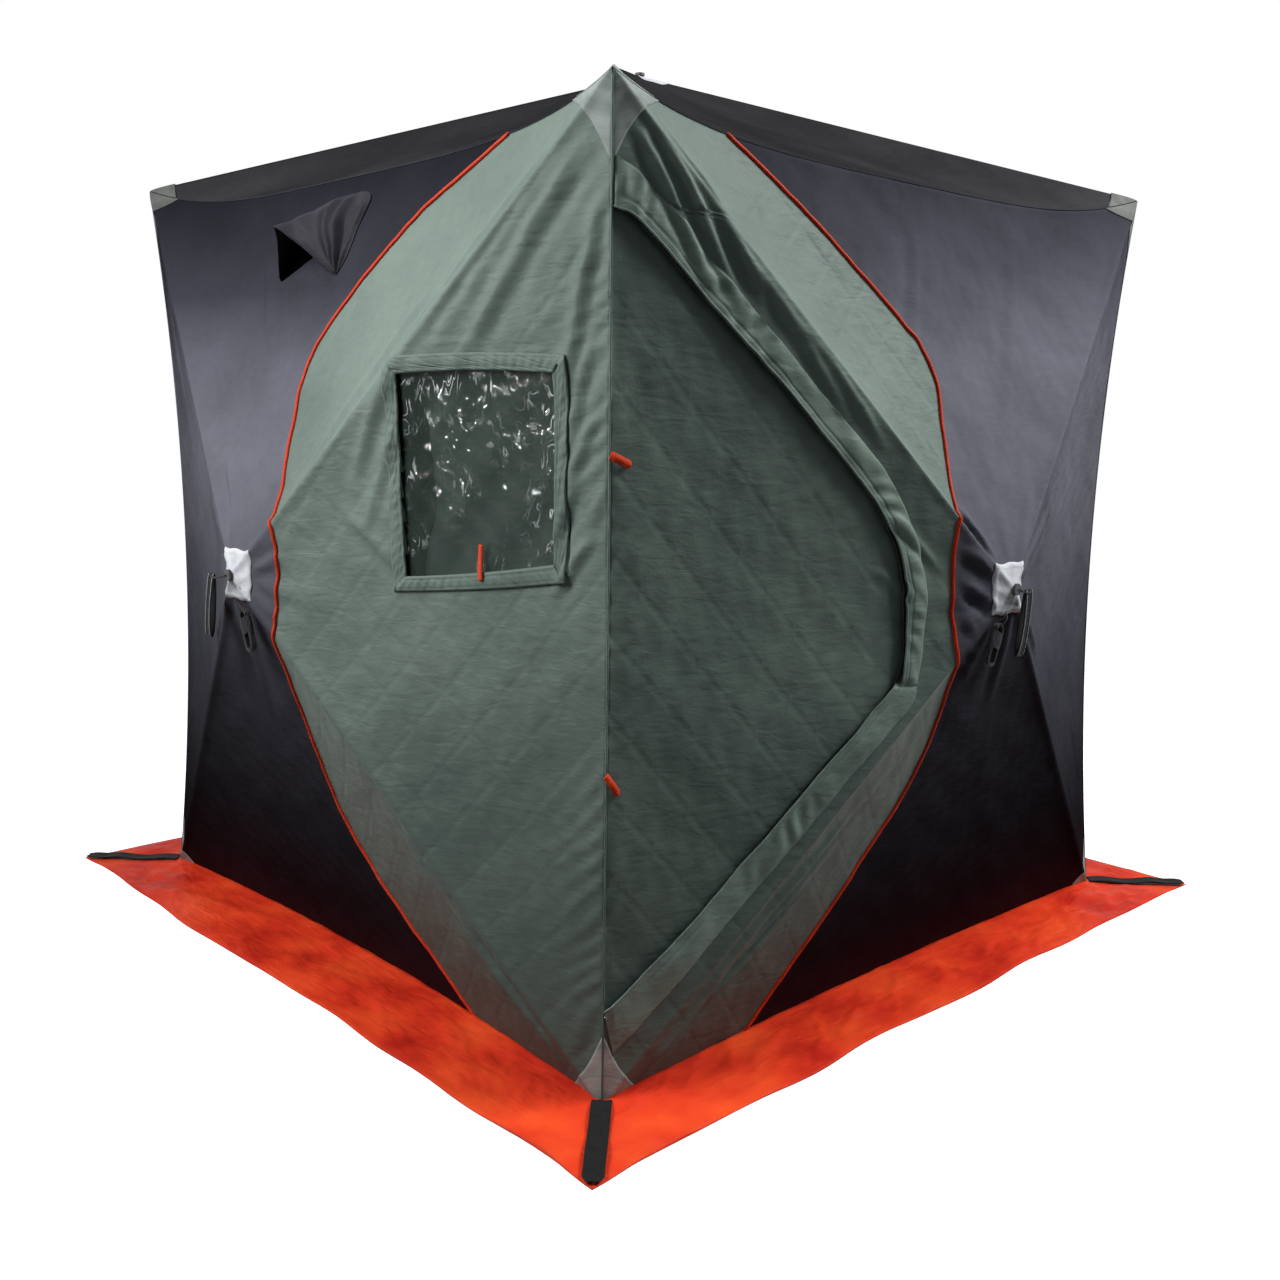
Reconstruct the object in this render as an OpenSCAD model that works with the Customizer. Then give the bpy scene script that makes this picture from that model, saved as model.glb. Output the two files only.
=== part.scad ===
// Pop-up hub shelter for ice fishing: four outward-bowed fabric walls and a
// roof, each held by a hub with four poles. The origin is the middle of the
// base, on the ice, with +Z up. The door wall faces -Y and the window wall
// faces -X, so the two share the corner at -X, -Y, called the near corner.
// Every wall is drawn as the door wall and then mirrored or turned into place.

/* [Shell] */
// Side of the square of bottom corners, and of the square of top corners
base_side = 1780; // [1400:10:2200]
// Height of the top corners above the ice
corner_height = 1800; // [1500:10:2160]
// Rise of the roof hub above the top corners
roof_rise = 290; // [200:5:360]
// Distance that a wall hub stands out past the line between its corners
hub_bulge = 253; // [200:1:310]
// Height of the wall hubs
hub_height = 911; // [760:1:1100]
// Thickness of the quilted fabric
fabric_t = 5; // [3:0.5:7]
// Gap left by a seam between two panels of one node
seam_gap = 0.5; // [0.3:0.1:1]

/* [Door] */
// Distance from the near corner to the sewn hinge line
hinge_inset = 20; // [18:1:40]
// Height of the door's lower end at the hinge
door_sill = 175; // [150:5:230]
// Distance of the door's upper end below the top corner
door_top_drop = 212; // [190:2:320]
// Reach of the door's nose from the near corner
door_reach = 668; // [520:2:700]
// Clearance round the door
door_gap = 5; // [5:0.5:10]
// Width of the storm flap that covers the zip
flap_w = 50; // [30:1:60]
// Thickness of the storm flap
flap_t = 3; // [2:0.5:6]
// Width of the zip tape on the door's free edge
zip_w = 9; // [6:1:14]
// Height of the zip tape above the door
zip_t = 1.5; // [1:0.5:3]
// Length of a tie-back loop, its width and its thickness
tie_size = [26, 9, 2.5];
// Distance of a tie-back loop from the hinge line
tie_inset = 14; // [14:1:24]
// Height of the two tie-back loops above and below the hubs
tie_heights = [260, -311];

/* [Window] */
// Width of the window opening
window_w = 340; // [240:5:360]
// Height of the window opening
window_h = 354; // [240:2:400]
// Distance of the window opening from the near corner
window_inset = 112; // [80:2:160]
// Width of the sewn band round the opening
window_band = 20; // [12:1:26]
// Clearance between the band and the pole above it
window_pole_gap = 9; // [6:1:20]
// Thickness of the clear vinyl
vinyl_t = 1; // [0.8:0.1:2]
// Thickness of the sewn band and of the pull tab
band_t = 1.5; // [1:0.5:3]
// Overlap of the inner curtain past the opening
curtain_lap = 18; // [10:1:24]
// Thickness of the inner curtain
curtain_t = 3; // [2:0.5:4]
// Clearance between the curtain and the wall
curtain_gap = 0.1; // [0.1:0.1:1]
// Width and length of the orange pull tab
pull_tab = [9, 60];

/* [Frame] */
// Diameter of a pole
pole_d = 11; // [8:0.5:13]
// Clearance of a pole in its socket, on the radius
socket_clearance = 0.2; // [0.1:0.05:0.4]
// Wall of a socket
socket_wall = 3; // [2:0.5:4]
// Length of a socket
socket_length = 48; // [36:1:70]
// Clearance between a socket and the fabric
socket_gap = 0.5; // [0.3:0.1:2]
// Radius of a hub's disc
hub_r = 22; // [18:1:26]
// Depth of a hub's disc
hub_depth = 18; // [14:1:30]
// Diameter of the stud that passes through the fabric
stud_d = 14; // [10:1:18]
// Radius of the stud's outer cap
cap_r = 12; // [10:1:16]
// Thickness of the stud's outer cap
cap_t = 6; // [4:1:10]
// Clearance round the stud and under its cap
stud_clearance = 0.4; // [0.3:0.1:1]

/* [Trim] */
// Thickness of the reinforcing patches
patch_t = 1.5; // [1:0.5:3]
// Clearance between the cloth and what is sewn over it
layer_gap = 0.05; // [0.05:0.05:0.2]
// Width and height of a hub patch
hub_patch = [106, 104];
// Reach of a top corner patch along the eaves and down the corner
top_patch = [130, 140];
// Reach of a bottom corner patch along the base and up the corner
bottom_patch = [100, 130];
// Width of the piping between the two colours of fabric
piping_w = 6; // [4:1:10]
// Height of the piping above the fabric
piping_t = 3; // [2:0.5:5]
// Thickness of the vent hood's fabric
hood_t = 2.5; // [2:0.5:4]
// Height of the vent hood's tip above the wall
hood_rise = 55; // [30:5:90]

/* [Skirt] */
// Width of the skirt that lies on the ice
skirt_w = 195; // [140:5:260]
// Thickness of the skirt
skirt_t = 3; // [2:0.5:5]
// Width of a corner strap
strap_w = 38; // [30:1:50]
// Thickness of a corner strap
strap_t = 2.5; // [2:0.5:4]
// Length of a corner strap
strap_length = 258; // [230:1:320]
// Distance of an anchor grommet from the end of its strap
grommet_inset = 49; // [30:1:60]
// Diameter of an anchor grommet's hole
grommet_d = 11; // [8:0.5:14]
// Width of a grommet's rim
grommet_rim = 5.5; // [4:0.5:8]
// Height of a grommet's rim
grommet_t = 1.2; // [0.8:0.2:2]

/* [Cords] */
// Width of a hub's pull strap, and the length that it hangs down
pull_size = [30, 152];
// Thickness of a pull strap's webbing
pull_t = 2; // [1.5:0.5:3]
// Radius of the short cord that carries a pull strap
pull_cord_r = 3; // [2:0.5:4]
// Distance of a pull strap from its hub, on the door wall and on the window wall
pull_offsets = [35, 62];
// Width, length and thickness of a hank of guy cord
hank_size = [30, 92, 12];
// Angle at which a hank hangs
hank_tilt = 14; // [0:1:25]

/* [Hidden] */
$fn = 48;

// Colours of the cloth and fittings
green_cloth = "#4f5c55";
charcoal_cloth = "#3a3a3e";
orange_nylon = "#e8452a";
patch_grey = "#8d9493";
light_patch = "#b4b8bd";
webbing_black = "#1c1c1e";
moulded_black = "#222224";
glass_fibre = "#2c2c2e";

// Corners and hubs of the door wall
half = base_side / 2;
hub_reach = half + hub_bulge;
near_top = [-half, -half, corner_height];
near_bottom = [-half, -half, 0];
far_top = [half, -half, corner_height];
far_bottom = [half, -half, 0];
wall_hub = [0, -hub_reach, hub_height];
roof_centre = [0, 0, corner_height + roof_rise];

// The near panel's own frame: s along the panel from the near corner, and z up
panel_w = norm([half, hub_bulge]);
panel_angle = -atan2(hub_bulge, half);
slope = atan2(hub_bulge, corner_height - hub_height);

// Moves a point towards the middle of the room, by a depth below its panels
function inwards(p, depth) = p + (core - p) * depth / core_distance;

// A panel whose corners are moved towards its middle
function inset_panel(panel, gap) =
    let (middle = (panel[0] + panel[1] + panel[2]) / 3)
    [for (p = panel) p + (middle - p) * gap / norm(middle - p)];

// The four panels of the door wall and the four of the roof, clockwise from outside
near_panel = [near_top, wall_hub, near_bottom];
upper_panel = [near_top, far_top, wall_hub];
far_panel = [far_top, far_bottom, wall_hub];
lower_panel = [far_bottom, near_bottom, wall_hub];
roof_panel = [far_top, near_top, roof_centre];

// Middle of the room, as far from the roof's panels as from the near panels
side_distance = half * hub_reach / panel_w;
core = [0, 0, roof_centre[2] - side_distance * norm([half, roof_rise]) / half];

// Distance of the room's middle from a panel
function panel_distance(panel) =
    let (across = cross(panel[1] - panel[0], panel[2] - panel[0]))
    abs(across * (core - panel[0])) / norm(across);

// Depths are true below the nearest panel, and a little more below the others
core_distance = min([for (p = [near_panel, upper_panel, lower_panel, roof_panel])
    panel_distance(p)]);
near_inner_face = fabric_t * side_distance / core_distance;

// Heights of the two poles that meet at the hub, over a point of the near panel
function upper_crease(s) = corner_height - (corner_height - hub_height) * s / panel_w;
function lower_crease(s) = hub_height * s / panel_w;

// A closed outline that runs anticlockwise, moved outwards by a distance
function edge_normal(a, b) = [b[1] - a[1], a[0] - b[0]] / norm(b - a);
function grown(outline, d) = let (n = len(outline)) [for (i = [0:n - 1])
    let (here = outline[i],
        before = edge_normal(outline[(i + n - 1) % n], here),
        after = edge_normal(here, outline[(i + 1) % n]))
    here + (before + after) * d / (1 + before * after)];

// A band of constant width along an open line of points
function line_normal(line, i) = let (n = len(line),
    a = edge_normal(line[max(i - 1, 0)], line[max(i, 1)]),
    b = edge_normal(line[min(i, n - 2)], line[min(i + 1, n - 1)]))
    (a + b) / (1 + a * b);
function band(line, w) = let (n = len(line)) concat(
    [for (i = [0:n - 1]) line[i] + line_normal(line, i) * w / 2],
    [for (i = [n - 1:-1:0]) line[i] - line_normal(line, i) * w / 2]);

// Door, doorway and flap in the near panel's frame
door_top = corner_height - door_top_drop;
// Corners of the door's nose, from the door's reach and the height of the hubs
door_nose = [[-13, -159], [0, -41], [-20, 83], [-64, 158]];
door_outline = concat([[hinge_inset, door_sill]],
    [for (p = door_nose) [door_reach + p[0], hub_height + p[1]]],
    [[hinge_inset, door_top]]);
doorway = grown(door_outline, door_gap);
flap_outline = grown(door_outline, flap_w);
// Clearance between the flap's ends and the corner patches
patch_clearance = 2;

// Window opening in the near panel's frame
window_far = window_inset + window_w;
window_top = upper_crease(window_far + window_band) - window_band - window_pole_gap;
window_bottom = window_top - window_h;

// Piping between the two colours, as the door wall shows it: x and z
piping_line = [[-620, corner_height - 45], [-480, corner_height - 145],
    [-320, corner_height - 273], [-165, hub_height + 456], [-128, hub_height + 300],
    [-136, hub_height + 185], [-136, hub_height - 170], [-112, hub_height - 350],
    [-200, hub_height - 590], [-340, 190], [-495, 15]];

// Vent hood in the upper panel's frame: along the wall, out of it, and up it
hood_base = [[197, -168], [-40, -80], [-235, -110], [-200, -285]];
hood_tip = [-165, -292];
vent_hole = [[170, -168], [85, -272], [-90, -140]];

// Sockets and poles
pole_r = pole_d / 2;
socket_r = pole_r + socket_clearance + socket_wall;
pole_depth = fabric_t + socket_gap + socket_r;
pole_start = hub_r;
// Distance of a pole's end from the corner that it points at
pole_end = socket_r + socket_wall;
// Clearance past a pole's two ends
end_gap = 0.5;
// Height of the hub's disc above the poles' middle lines
hub_front = 2.5;
wall_centre = inwards(wall_hub, pole_depth);
roof_hub_centre = inwards(roof_centre, pole_depth);
cap_seat = norm(inwards(wall_hub, -patch_t) - wall_centre) + stud_clearance;

// Skirt
skirt_inner = half + skirt_t * hub_bulge / hub_height;
skirt_outer = half + skirt_w;
// Distance of a strap's inner end from the corner
strap_start = 6;
grommet_at = strap_start + strap_length - grommet_inset;
// Clearance between a grommet's hole and the hole in the skirt below it
skirt_hole_gap = 1.5;

// Pull straps and guy hanks, on the door wall
pull_cord_y = wall_centre[1] - cap_seat - cap_t - pull_cord_r;
// The tab that carries a hank: its width, its length, and its lap on the patch
tab_size = [10, 22];
tab_lap = 9;
tab_x = -hub_patch[0] / 2 + 6;
tab_top = hub_height - hub_patch[1] / 2 + tab_lap;
tab_bottom = tab_top - tab_size[1];
tab_front = -hub_reach + 4;
hank_y = tab_front + 1;

module to_window_wall() { mirror([1, -1, 0]) children(); }
module to_right_wall() { mirror([1, 1, 0]) children(); }
module to_back_wall() { rotate([0, 0, 180]) children(); }

// A flat sheet between two depths below a panel. Its edges point at the room's
// middle, so that neighbouring sheets meet face to face.
module sheet(panel, outer_depth, inner_depth, gap = 0) {
    flat = inset_panel(panel, gap);
    n = len(flat);
    polyhedron(
        points = concat([for (p = flat) inwards(p, outer_depth)],
            [for (p = flat) inwards(p, inner_depth)]),
        faces = concat([[for (i = [0:n - 1]) i]], [[for (i = [n - 1:-1:0]) n + i]],
            [for (i = [0:n - 1]) [(i + 1) % n, i, n + i, n + (i + 1) % n]]));
}

// The lower panel's sheet, with a flat foot on the ice under its inner edge
module footed_sheet(gap = 0) {
    flat = inset_panel(lower_panel, gap);
    inner = [for (p = flat) inwards(p, fabric_t)];
    foot = [for (i = [0:1]) [inner[i][0], inner[i][1], 0]];
    polyhedron(points = concat(flat, inner, foot),
        faces = [[0, 1, 2], [5, 4, 3], [1, 0, 6, 7], [7, 6, 3, 4],
            [2, 1, 4, 5], [0, 2, 5, 3], [1, 7, 4], [6, 0, 3]]);
}

module on_near_panel() {
    translate(near_bottom) rotate([0, 0, panel_angle]) children();
}

module on_upper_panel() {
    translate([0, -half, corner_height]) rotate([-slope, 0, 0]) children();
}

// An outline in a panel's frame, from a depth inside its face to a height outside
module plate(depth, height) {
    translate([0, depth, 0]) rotate([90, 0, 0]) linear_extrude(depth + height) children();
}

module stud_hole(centre, tilt) {
    translate(centre) rotate([tilt, 0, 0])
        cylinder(h = 2 * hub_bulge, r = stud_d / 2 + stud_clearance, center = true);
}

module wall_stud_hole() { stud_hole(wall_centre, 90); }

// The whole cloth envelope as one solid, at a depth below its face. For each
// quarter turn it has a bottom corner, a top corner and a wall hub.
function turned(p, quarters) =
    quarters == 0 ? p : turned([-p[1], p[0], p[2]], quarters - 1);
envelope_points = concat(
    [for (p = [near_bottom, near_top, wall_hub]) for (q = [0:3]) turned(p, q)],
    [roof_centre]);
module envelope(depth) {
    polyhedron(
        points = [for (p = envelope_points) inwards(p, depth)],
        faces = concat([[0, 1, 2, 3]], [for (q = [0:3]) let (r = (q + 1) % 4)
            each [[4 + q, 8 + q, q], [4 + q, 4 + r, 8 + q], [4 + r, r, 8 + q],
                [r, q, 8 + q], [4 + r, 4 + q, 12]]]));
}

// A layer that lies on the cloth all over
module layer(height) {
    difference() {
        envelope(-height);
        envelope(-layer_gap);
    }
}

// The space above the skirt
module above_skirt() {
    translate([-base_side, -base_side, skirt_t])
        cube([2 * base_side, 2 * base_side, 2 * corner_height]);
}

// A plain wall: four panels with seams between them
module plain_wall() {
    color(charcoal_cloth) difference() {
        union() {
            for (panel = [near_panel, upper_panel, far_panel])
                sheet(panel, 0, fabric_t, seam_gap);
            footed_sheet(seam_gap);
        }
        wall_stud_hole();
    }
}

module left_window_panel() {
    color(green_cloth) to_window_wall() difference() {
        sheet(near_panel, 0, fabric_t);
        wall_stud_hole();
        on_near_panel() plate(4 * fabric_t, fabric_t) window_opening();
    }
}

module window_opening(margin = 0) {
    translate([window_inset - margin, window_bottom - margin])
        square([window_w + 2 * margin, window_h + 2 * margin]);
}

module left_rear_panel() {
    color(charcoal_cloth) to_window_wall() difference() {
        sheet(far_panel, 0, fabric_t);
        wall_stud_hole();
    }
}

module left_upper_panel() {
    color(charcoal_cloth) to_window_wall() difference() {
        sheet(upper_panel, 0, fabric_t);
        wall_stud_hole();
        on_upper_panel() plate(4 * fabric_t, fabric_t) polygon(vent_hole);
    }
}

module left_lower_panel() {
    color(charcoal_cloth) to_window_wall() difference() {
        footed_sheet();
        wall_stud_hole();
    }
}

module front_upper_panel() {
    color(charcoal_cloth) difference() {
        sheet(upper_panel, 0, fabric_t);
        wall_stud_hole();
    }
}

module front_lower_panel() {
    color(charcoal_cloth) difference() {
        footed_sheet();
        wall_stud_hole();
    }
}

module front_far_panel() {
    color(charcoal_cloth) difference() {
        sheet(far_panel, 0, fabric_t);
        wall_stud_hole();
    }
}

// The part of the near panel inside an outline of its own frame
module surround(outline) {
    color(green_cloth) difference() {
        intersection() {
            sheet(near_panel, 0, fabric_t);
            on_near_panel() plate(4 * fabric_t, fabric_t) polygon(outline);
        }
        wall_stud_hole();
    }
}

doorway_low = doorway[0];
doorway_nose_low = doorway[1];
doorway_nose = doorway[2];
doorway_nose_high = doorway[3];
doorway_shoulder = doorway[4];
doorway_high = doorway[5];
hub_point = [panel_w, hub_height];

module door_hinge_seam() {
    surround([[-half, doorway_low[1]], doorway_low, doorway_high, [-half, doorway_high[1]]]);
}

module door_surround_upper() {
    surround([[-half, doorway_high[1]], doorway_high, doorway_shoulder, doorway_nose_high,
        hub_point, [panel_w, 2 * corner_height], [-half, 2 * corner_height]]);
}

module door_surround_nose() {
    surround([doorway_nose_high, doorway_nose, doorway_nose_low, hub_point]);
}

module door_surround_lower() {
    surround([[-half, -half], [panel_w, -half], hub_point, doorway_nose_low, doorway_low,
        [-half, doorway_low[1]]]);
}

module door_storm_flap() {
    color(green_cloth) on_near_panel() plate(0, flap_t) difference() {
        intersection() {
            polygon(flap_outline);
            translate([0, bottom_patch[1] + patch_clearance])
                square([panel_w, corner_height - top_patch[1] - bottom_patch[1]
                    - 2 * patch_clearance]);
        }
        polygon(doorway);
        translate([-half, doorway_low[1]])
            square([half + doorway_low[0], doorway_high[1] - doorway_low[1]]);
    }
}

module right_wall() { to_right_wall() plain_wall(); }

module back_wall() { to_back_wall() plain_wall(); }

module roof() {
    color(charcoal_cloth) difference() {
        for (turn = [0:90:270]) rotate([0, 0, turn]) sheet(roof_panel, 0, fabric_t, seam_gap);
        stud_hole(roof_centre, 0);
    }
}

// A round rod along the line from one point to another, between two distances
module rod(a, b, r, first, last) {
    along = b - a;
    translate(a) rotate([0, acos(along[2] / norm(along)), atan2(along[1], along[0])])
        translate([0, 0, first]) cylinder(h = last - first, r = r);
}

wall_corners = [for (p = [near_top, far_top, far_bottom, near_bottom]) inwards(p, pole_depth)];
roof_corners = [for (x = [-1, 1]) for (y = [-1, 1])
    inwards([x * half, y * half, corner_height], pole_depth)];

module poles(centre, corners) {
    color(glass_fibre) for (corner = corners)
        rod(centre, corner, pole_r, pole_start, norm(corner - centre) - pole_end);
}

module front_poles() { poles(wall_centre, wall_corners); }

module left_poles() { to_window_wall() poles(wall_centre, wall_corners); }

module right_poles() { to_right_wall() poles(wall_centre, wall_corners); }

module back_poles() { to_back_wall() poles(wall_centre, wall_corners); }

module roof_poles() { poles(roof_hub_centre, roof_corners); }

// A hub: a disc with four pole sockets, and a capped stud through the fabric
module pole_hub(centre, corners, tilt) {
    difference() {
        union() {
            translate(centre) rotate([tilt, 0, 0]) {
                translate([0, 0, hub_front - hub_depth]) cylinder(h = hub_depth, r = hub_r);
                cylinder(h = cap_seat, r = stud_d / 2);
                translate([0, 0, cap_seat]) cylinder(h = cap_t, r = cap_r);
            }
            for (corner = corners) rod(centre, corner, socket_r, 0, socket_length);
        }
        for (corner = corners)
            rod(centre, corner, pole_r + socket_clearance, pole_start - end_gap,
                socket_length + end_gap);
    }
}

module wall_hubs() {
    color(moulded_black) {
        pole_hub(wall_centre, wall_corners, 90);
        to_window_wall() pole_hub(wall_centre, wall_corners, 90);
        to_right_wall() pole_hub(wall_centre, wall_corners, 90);
        to_back_wall() pole_hub(wall_centre, wall_corners, 90);
    }
}

module roof_hub() { color(moulded_black) pole_hub(roof_hub_centre, roof_corners, 0); }

// A corner's ball with one socket for each pole that ends there
module corner_socket(corner, hubs) {
    difference() {
        union() {
            translate(corner) sphere(r = socket_r);
            for (hub = hubs) rod(corner, hub, socket_r, 0, socket_length);
        }
        for (hub = hubs)
            rod(corner, hub, pole_r + socket_clearance, pole_end - end_gap,
                socket_length + end_gap);
    }
}

window_wall_centre = [wall_centre[1], wall_centre[0], wall_centre[2]];

module top_corner_sockets() {
    color(moulded_black) for (turn = [0:90:270]) rotate([0, 0, turn])
        corner_socket(wall_corners[0], [wall_centre, window_wall_centre, roof_hub_centre]);
}

module bottom_corner_sockets() {
    color(moulded_black) for (turn = [0:90:270]) rotate([0, 0, turn])
        corner_socket(wall_corners[3], [wall_centre, window_wall_centre]);
}

// Outward distance of the lower panel's face from the room's middle, at a height
function lower_face(z) = half + hub_bulge * z / hub_height;

// The tab that a guy hank hangs from, sewn into the patch's lower corner
module hank_tab() {
    back = patch_t / 2;
    translate([tab_x - tab_size[0] / 2, 0, 0]) rotate([90, 0, 90])
        linear_extrude(tab_size[0]) polygon([[tab_front, tab_bottom],
            [-lower_face(tab_bottom) - back, tab_bottom],
            [-lower_face(tab_top) - back, tab_top], [tab_front, tab_top]]);
}

// A wall hub's patch with its tab
module wall_patch() {
    difference() {
        union() {
            intersection() {
                layer(patch_t);
                translate([-hub_patch[0] / 2, -2 * hub_reach, hub_height - hub_patch[1] / 2])
                    cube([hub_patch[0], 2 * hub_reach, hub_patch[1]]);
            }
            hank_tab();
        }
        wall_stud_hole();
    }
}

module hub_patches() {
    color(light_patch) {
        wall_patch();
        to_window_wall() wall_patch();
        to_right_wall() wall_patch();
        to_back_wall() wall_patch();
        difference() {
            intersection() {
                layer(patch_t);
                translate([-hub_patch[0] / 2, -hub_patch[0] / 2, corner_height])
                    cube([hub_patch[0], hub_patch[0], 2 * roof_rise]);
            }
            stud_hole(roof_centre, 0);
        }
    }
}

// A region shaped like two square pyramids, base to base
module diamond(centre, reach, height) {
    translate(centre) polyhedron(
        points = [[reach, 0, 0], [0, reach, 0], [-reach, 0, 0], [0, -reach, 0],
            [0, 0, height], [0, 0, -height]],
        faces = [for (i = [0:3]) [(i + 1) % 4, i, 4], for (i = [0:3]) [i, (i + 1) % 4, 5]]);
}

module top_corner_patches() {
    color(patch_grey) for (turn = [0:90:270]) rotate([0, 0, turn]) intersection() {
        layer(patch_t);
        diamond(near_top, top_patch[0], top_patch[1]);
    }
}

module bottom_corner_patches() {
    color(patch_grey) for (turn = [0:90:270]) rotate([0, 0, turn]) intersection() {
        layer(patch_t);
        diamond(near_bottom, bottom_patch[0], bottom_patch[1]);
        above_skirt();
    }
}

module piping() {
    color(orange_nylon) intersection() {
        layer(piping_t);
        rotate([90, 0, 0]) linear_extrude(2 * hub_reach) polygon(band(piping_line, piping_w));
        above_skirt();
    }
}

module front_piping() { piping(); }

module left_piping() { to_window_wall() piping(); }

// A triangle of fabric, given its thickness straight towards the wall
module hood_facet(a, b, c) {
    back = [0, hood_t, 0];
    polyhedron(points = [a, b, c, a + back, b + back, c + back],
        faces = [[0, 1, 2], [5, 4, 3], [1, 0, 3, 4], [2, 1, 4, 5], [0, 2, 5, 3]]);
}

module vent_hood() {
    base = [for (p = hood_base) [p[0], -hood_t, p[1]]];
    tip = [hood_tip[0], -hood_rise, hood_tip[1]];
    color(charcoal_cloth) to_window_wall() on_upper_panel() {
        hood_facet(base[1], base[0], tip);
        hood_facet(base[2], base[1], tip);
        hood_facet(base[3], base[2], tip);
    }
}

module window_band_frame() {
    color(green_cloth) to_window_wall() on_near_panel() plate(0, band_t) difference() {
        window_opening(window_band);
        window_opening();
    }
}

module window_pane() {
    color([0.85, 0.9, 0.88, 0.35]) to_window_wall() on_near_panel()
        translate([0, fabric_t / 2 - vinyl_t, 0]) plate(vinyl_t, 0) window_opening();
}

module window_curtain() {
    color(green_cloth) to_window_wall() on_near_panel()
        translate([0, near_inner_face + curtain_gap, 0]) plate(curtain_t, 0)
            window_opening(curtain_lap);
}

module window_pull_tab() {
    color(orange_nylon) to_window_wall() on_near_panel()
        translate([window_inset + window_w / 2, -band_t, window_bottom - window_band / 2])
            plate(0, band_t) translate([-pull_tab[0] / 2, 0]) square(pull_tab);
}

// One side of the skirt, mitred at its corners
module skirt_side() {
    color(orange_nylon) difference() {
        linear_extrude(skirt_t) polygon([[-skirt_inner, -skirt_inner],
            [-skirt_outer, -skirt_outer], [skirt_outer, -skirt_outer],
            [skirt_inner, -skirt_inner]]);
        for (turn = [0, 90]) rotate([0, 0, turn]) grommet_place()
            cylinder(h = 3 * skirt_t, r = grommet_d / 2 + skirt_hole_gap, center = true);
    }
}

module skirt_front() { skirt_side(); }

module skirt_left() { to_window_wall() skirt_side(); }

module skirt_right() { to_right_wall() skirt_side(); }

module skirt_back() { to_back_wall() skirt_side(); }

// A strap's own frame: along the diagonal, out of the near corner
module on_strap() {
    translate([-half, -half, skirt_t]) rotate([0, 0, -135]) children();
}

module grommet_place() { on_strap() translate([grommet_at, 0, 0]) children(); }

module corner_straps() {
    taper = strap_w / 4;
    strap_end = strap_start + strap_length;
    color(webbing_black) for (turn = [0:90:270]) rotate([0, 0, turn]) difference() {
        union() {
            on_strap() linear_extrude(strap_t) polygon([[strap_start, -strap_w / 2],
                [strap_end - taper, -strap_w / 2], [strap_end, -taper], [strap_end, taper],
                [strap_end - taper, strap_w / 2], [strap_start, strap_w / 2]]);
            grommet_place() cylinder(h = strap_t + grommet_t, r = grommet_d / 2 + grommet_rim);
        }
        grommet_place() cylinder(h = 4 * strap_t, r = grommet_d / 2, center = true);
    }
}

// The side view of a hanging loop of webbing, with its top at the origin
module loop_outline(r) {
    hang = pull_size[1] - pull_cord_r - pull_t;
    circle(r = r);
    translate([0, -hang]) circle(r = r);
    translate([-r, -hang]) square([2 * r, hang]);
}

// A pull strap on its short cord
module pull_strap(offset_x) {
    translate([0, pull_cord_y, hub_height]) {
        rotate([0, 90, 0]) translate([0, 0, -cap_r / 2])
            cylinder(h = offset_x + pull_size[0] / 2 + cap_r / 2, r = pull_cord_r);
        translate([offset_x - pull_size[0] / 2, 0, 0]) rotate([90, 0, 90])
            linear_extrude(pull_size[0]) difference() {
                loop_outline(pull_cord_r + pull_t);
                loop_outline(pull_cord_r);
            }
    }
}

module pull_straps() {
    color(webbing_black) {
        pull_strap(pull_offsets[0]);
        to_window_wall() pull_strap(pull_offsets[1]);
        to_right_wall() pull_strap(pull_offsets[1]);
        to_back_wall() pull_strap(pull_offsets[0]);
    }
}

// A hank of guy cord, hung from the tab of its hub patch
module guy_hank() {
    r = hank_size[0] / 2;
    color(webbing_black) translate([tab_x, hank_y, tab_bottom - r])
        rotate([0, hank_tilt, 0]) rotate([90, 0, 0])
            translate([0, 0, -hank_size[2] / 2]) linear_extrude(hank_size[2]) {
                circle(r = r);
                translate([0, 2 * r - hank_size[1]]) circle(r = r);
                translate([-r, 2 * r - hank_size[1]]) square([2 * r, hank_size[1] - 2 * r]);
            }
}

module front_guy_hank() { guy_hank(); }

module left_guy_hank() { to_window_wall() guy_hank(); }

module right_guy_hank() { to_right_wall() guy_hank(); }

module back_guy_hank() { to_back_wall() guy_hank(); }

module door_panel() {
    color(green_cloth) on_near_panel() plate(fabric_t, 0) polygon(door_outline);
}

module door_zip() {
    color(webbing_black) on_near_panel() plate(0, zip_t) difference() {
        polygon(door_outline);
        polygon(grown(door_outline, -zip_w));
        square([hinge_inset + 3 * zip_w, corner_height]);
    }
}

module door_tie_loops() {
    color(orange_nylon) on_near_panel() for (rise = tie_heights)
        translate([hinge_inset + tie_inset, 0, hub_height + rise])
            plate(0, tie_size[2]) square([tie_size[0], tie_size[1]]);
}

left_window_panel();
left_rear_panel();
left_upper_panel();
left_lower_panel();
front_upper_panel();
front_lower_panel();
front_far_panel();
door_hinge_seam();
door_surround_upper();
door_surround_nose();
door_surround_lower();
door_storm_flap();
right_wall();
back_wall();
roof();
front_poles();
left_poles();
right_poles();
back_poles();
roof_poles();
wall_hubs();
roof_hub();
top_corner_sockets();
bottom_corner_sockets();
hub_patches();
top_corner_patches();
bottom_corner_patches();
front_piping();
left_piping();
vent_hood();
window_band_frame();
window_pane();
window_curtain();
window_pull_tab();
skirt_front();
skirt_left();
skirt_right();
skirt_back();
corner_straps();
pull_straps();
front_guy_hank();
left_guy_hank();
right_guy_hank();
back_guy_hank();
door_panel();
door_zip();
door_tie_loops();
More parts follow.
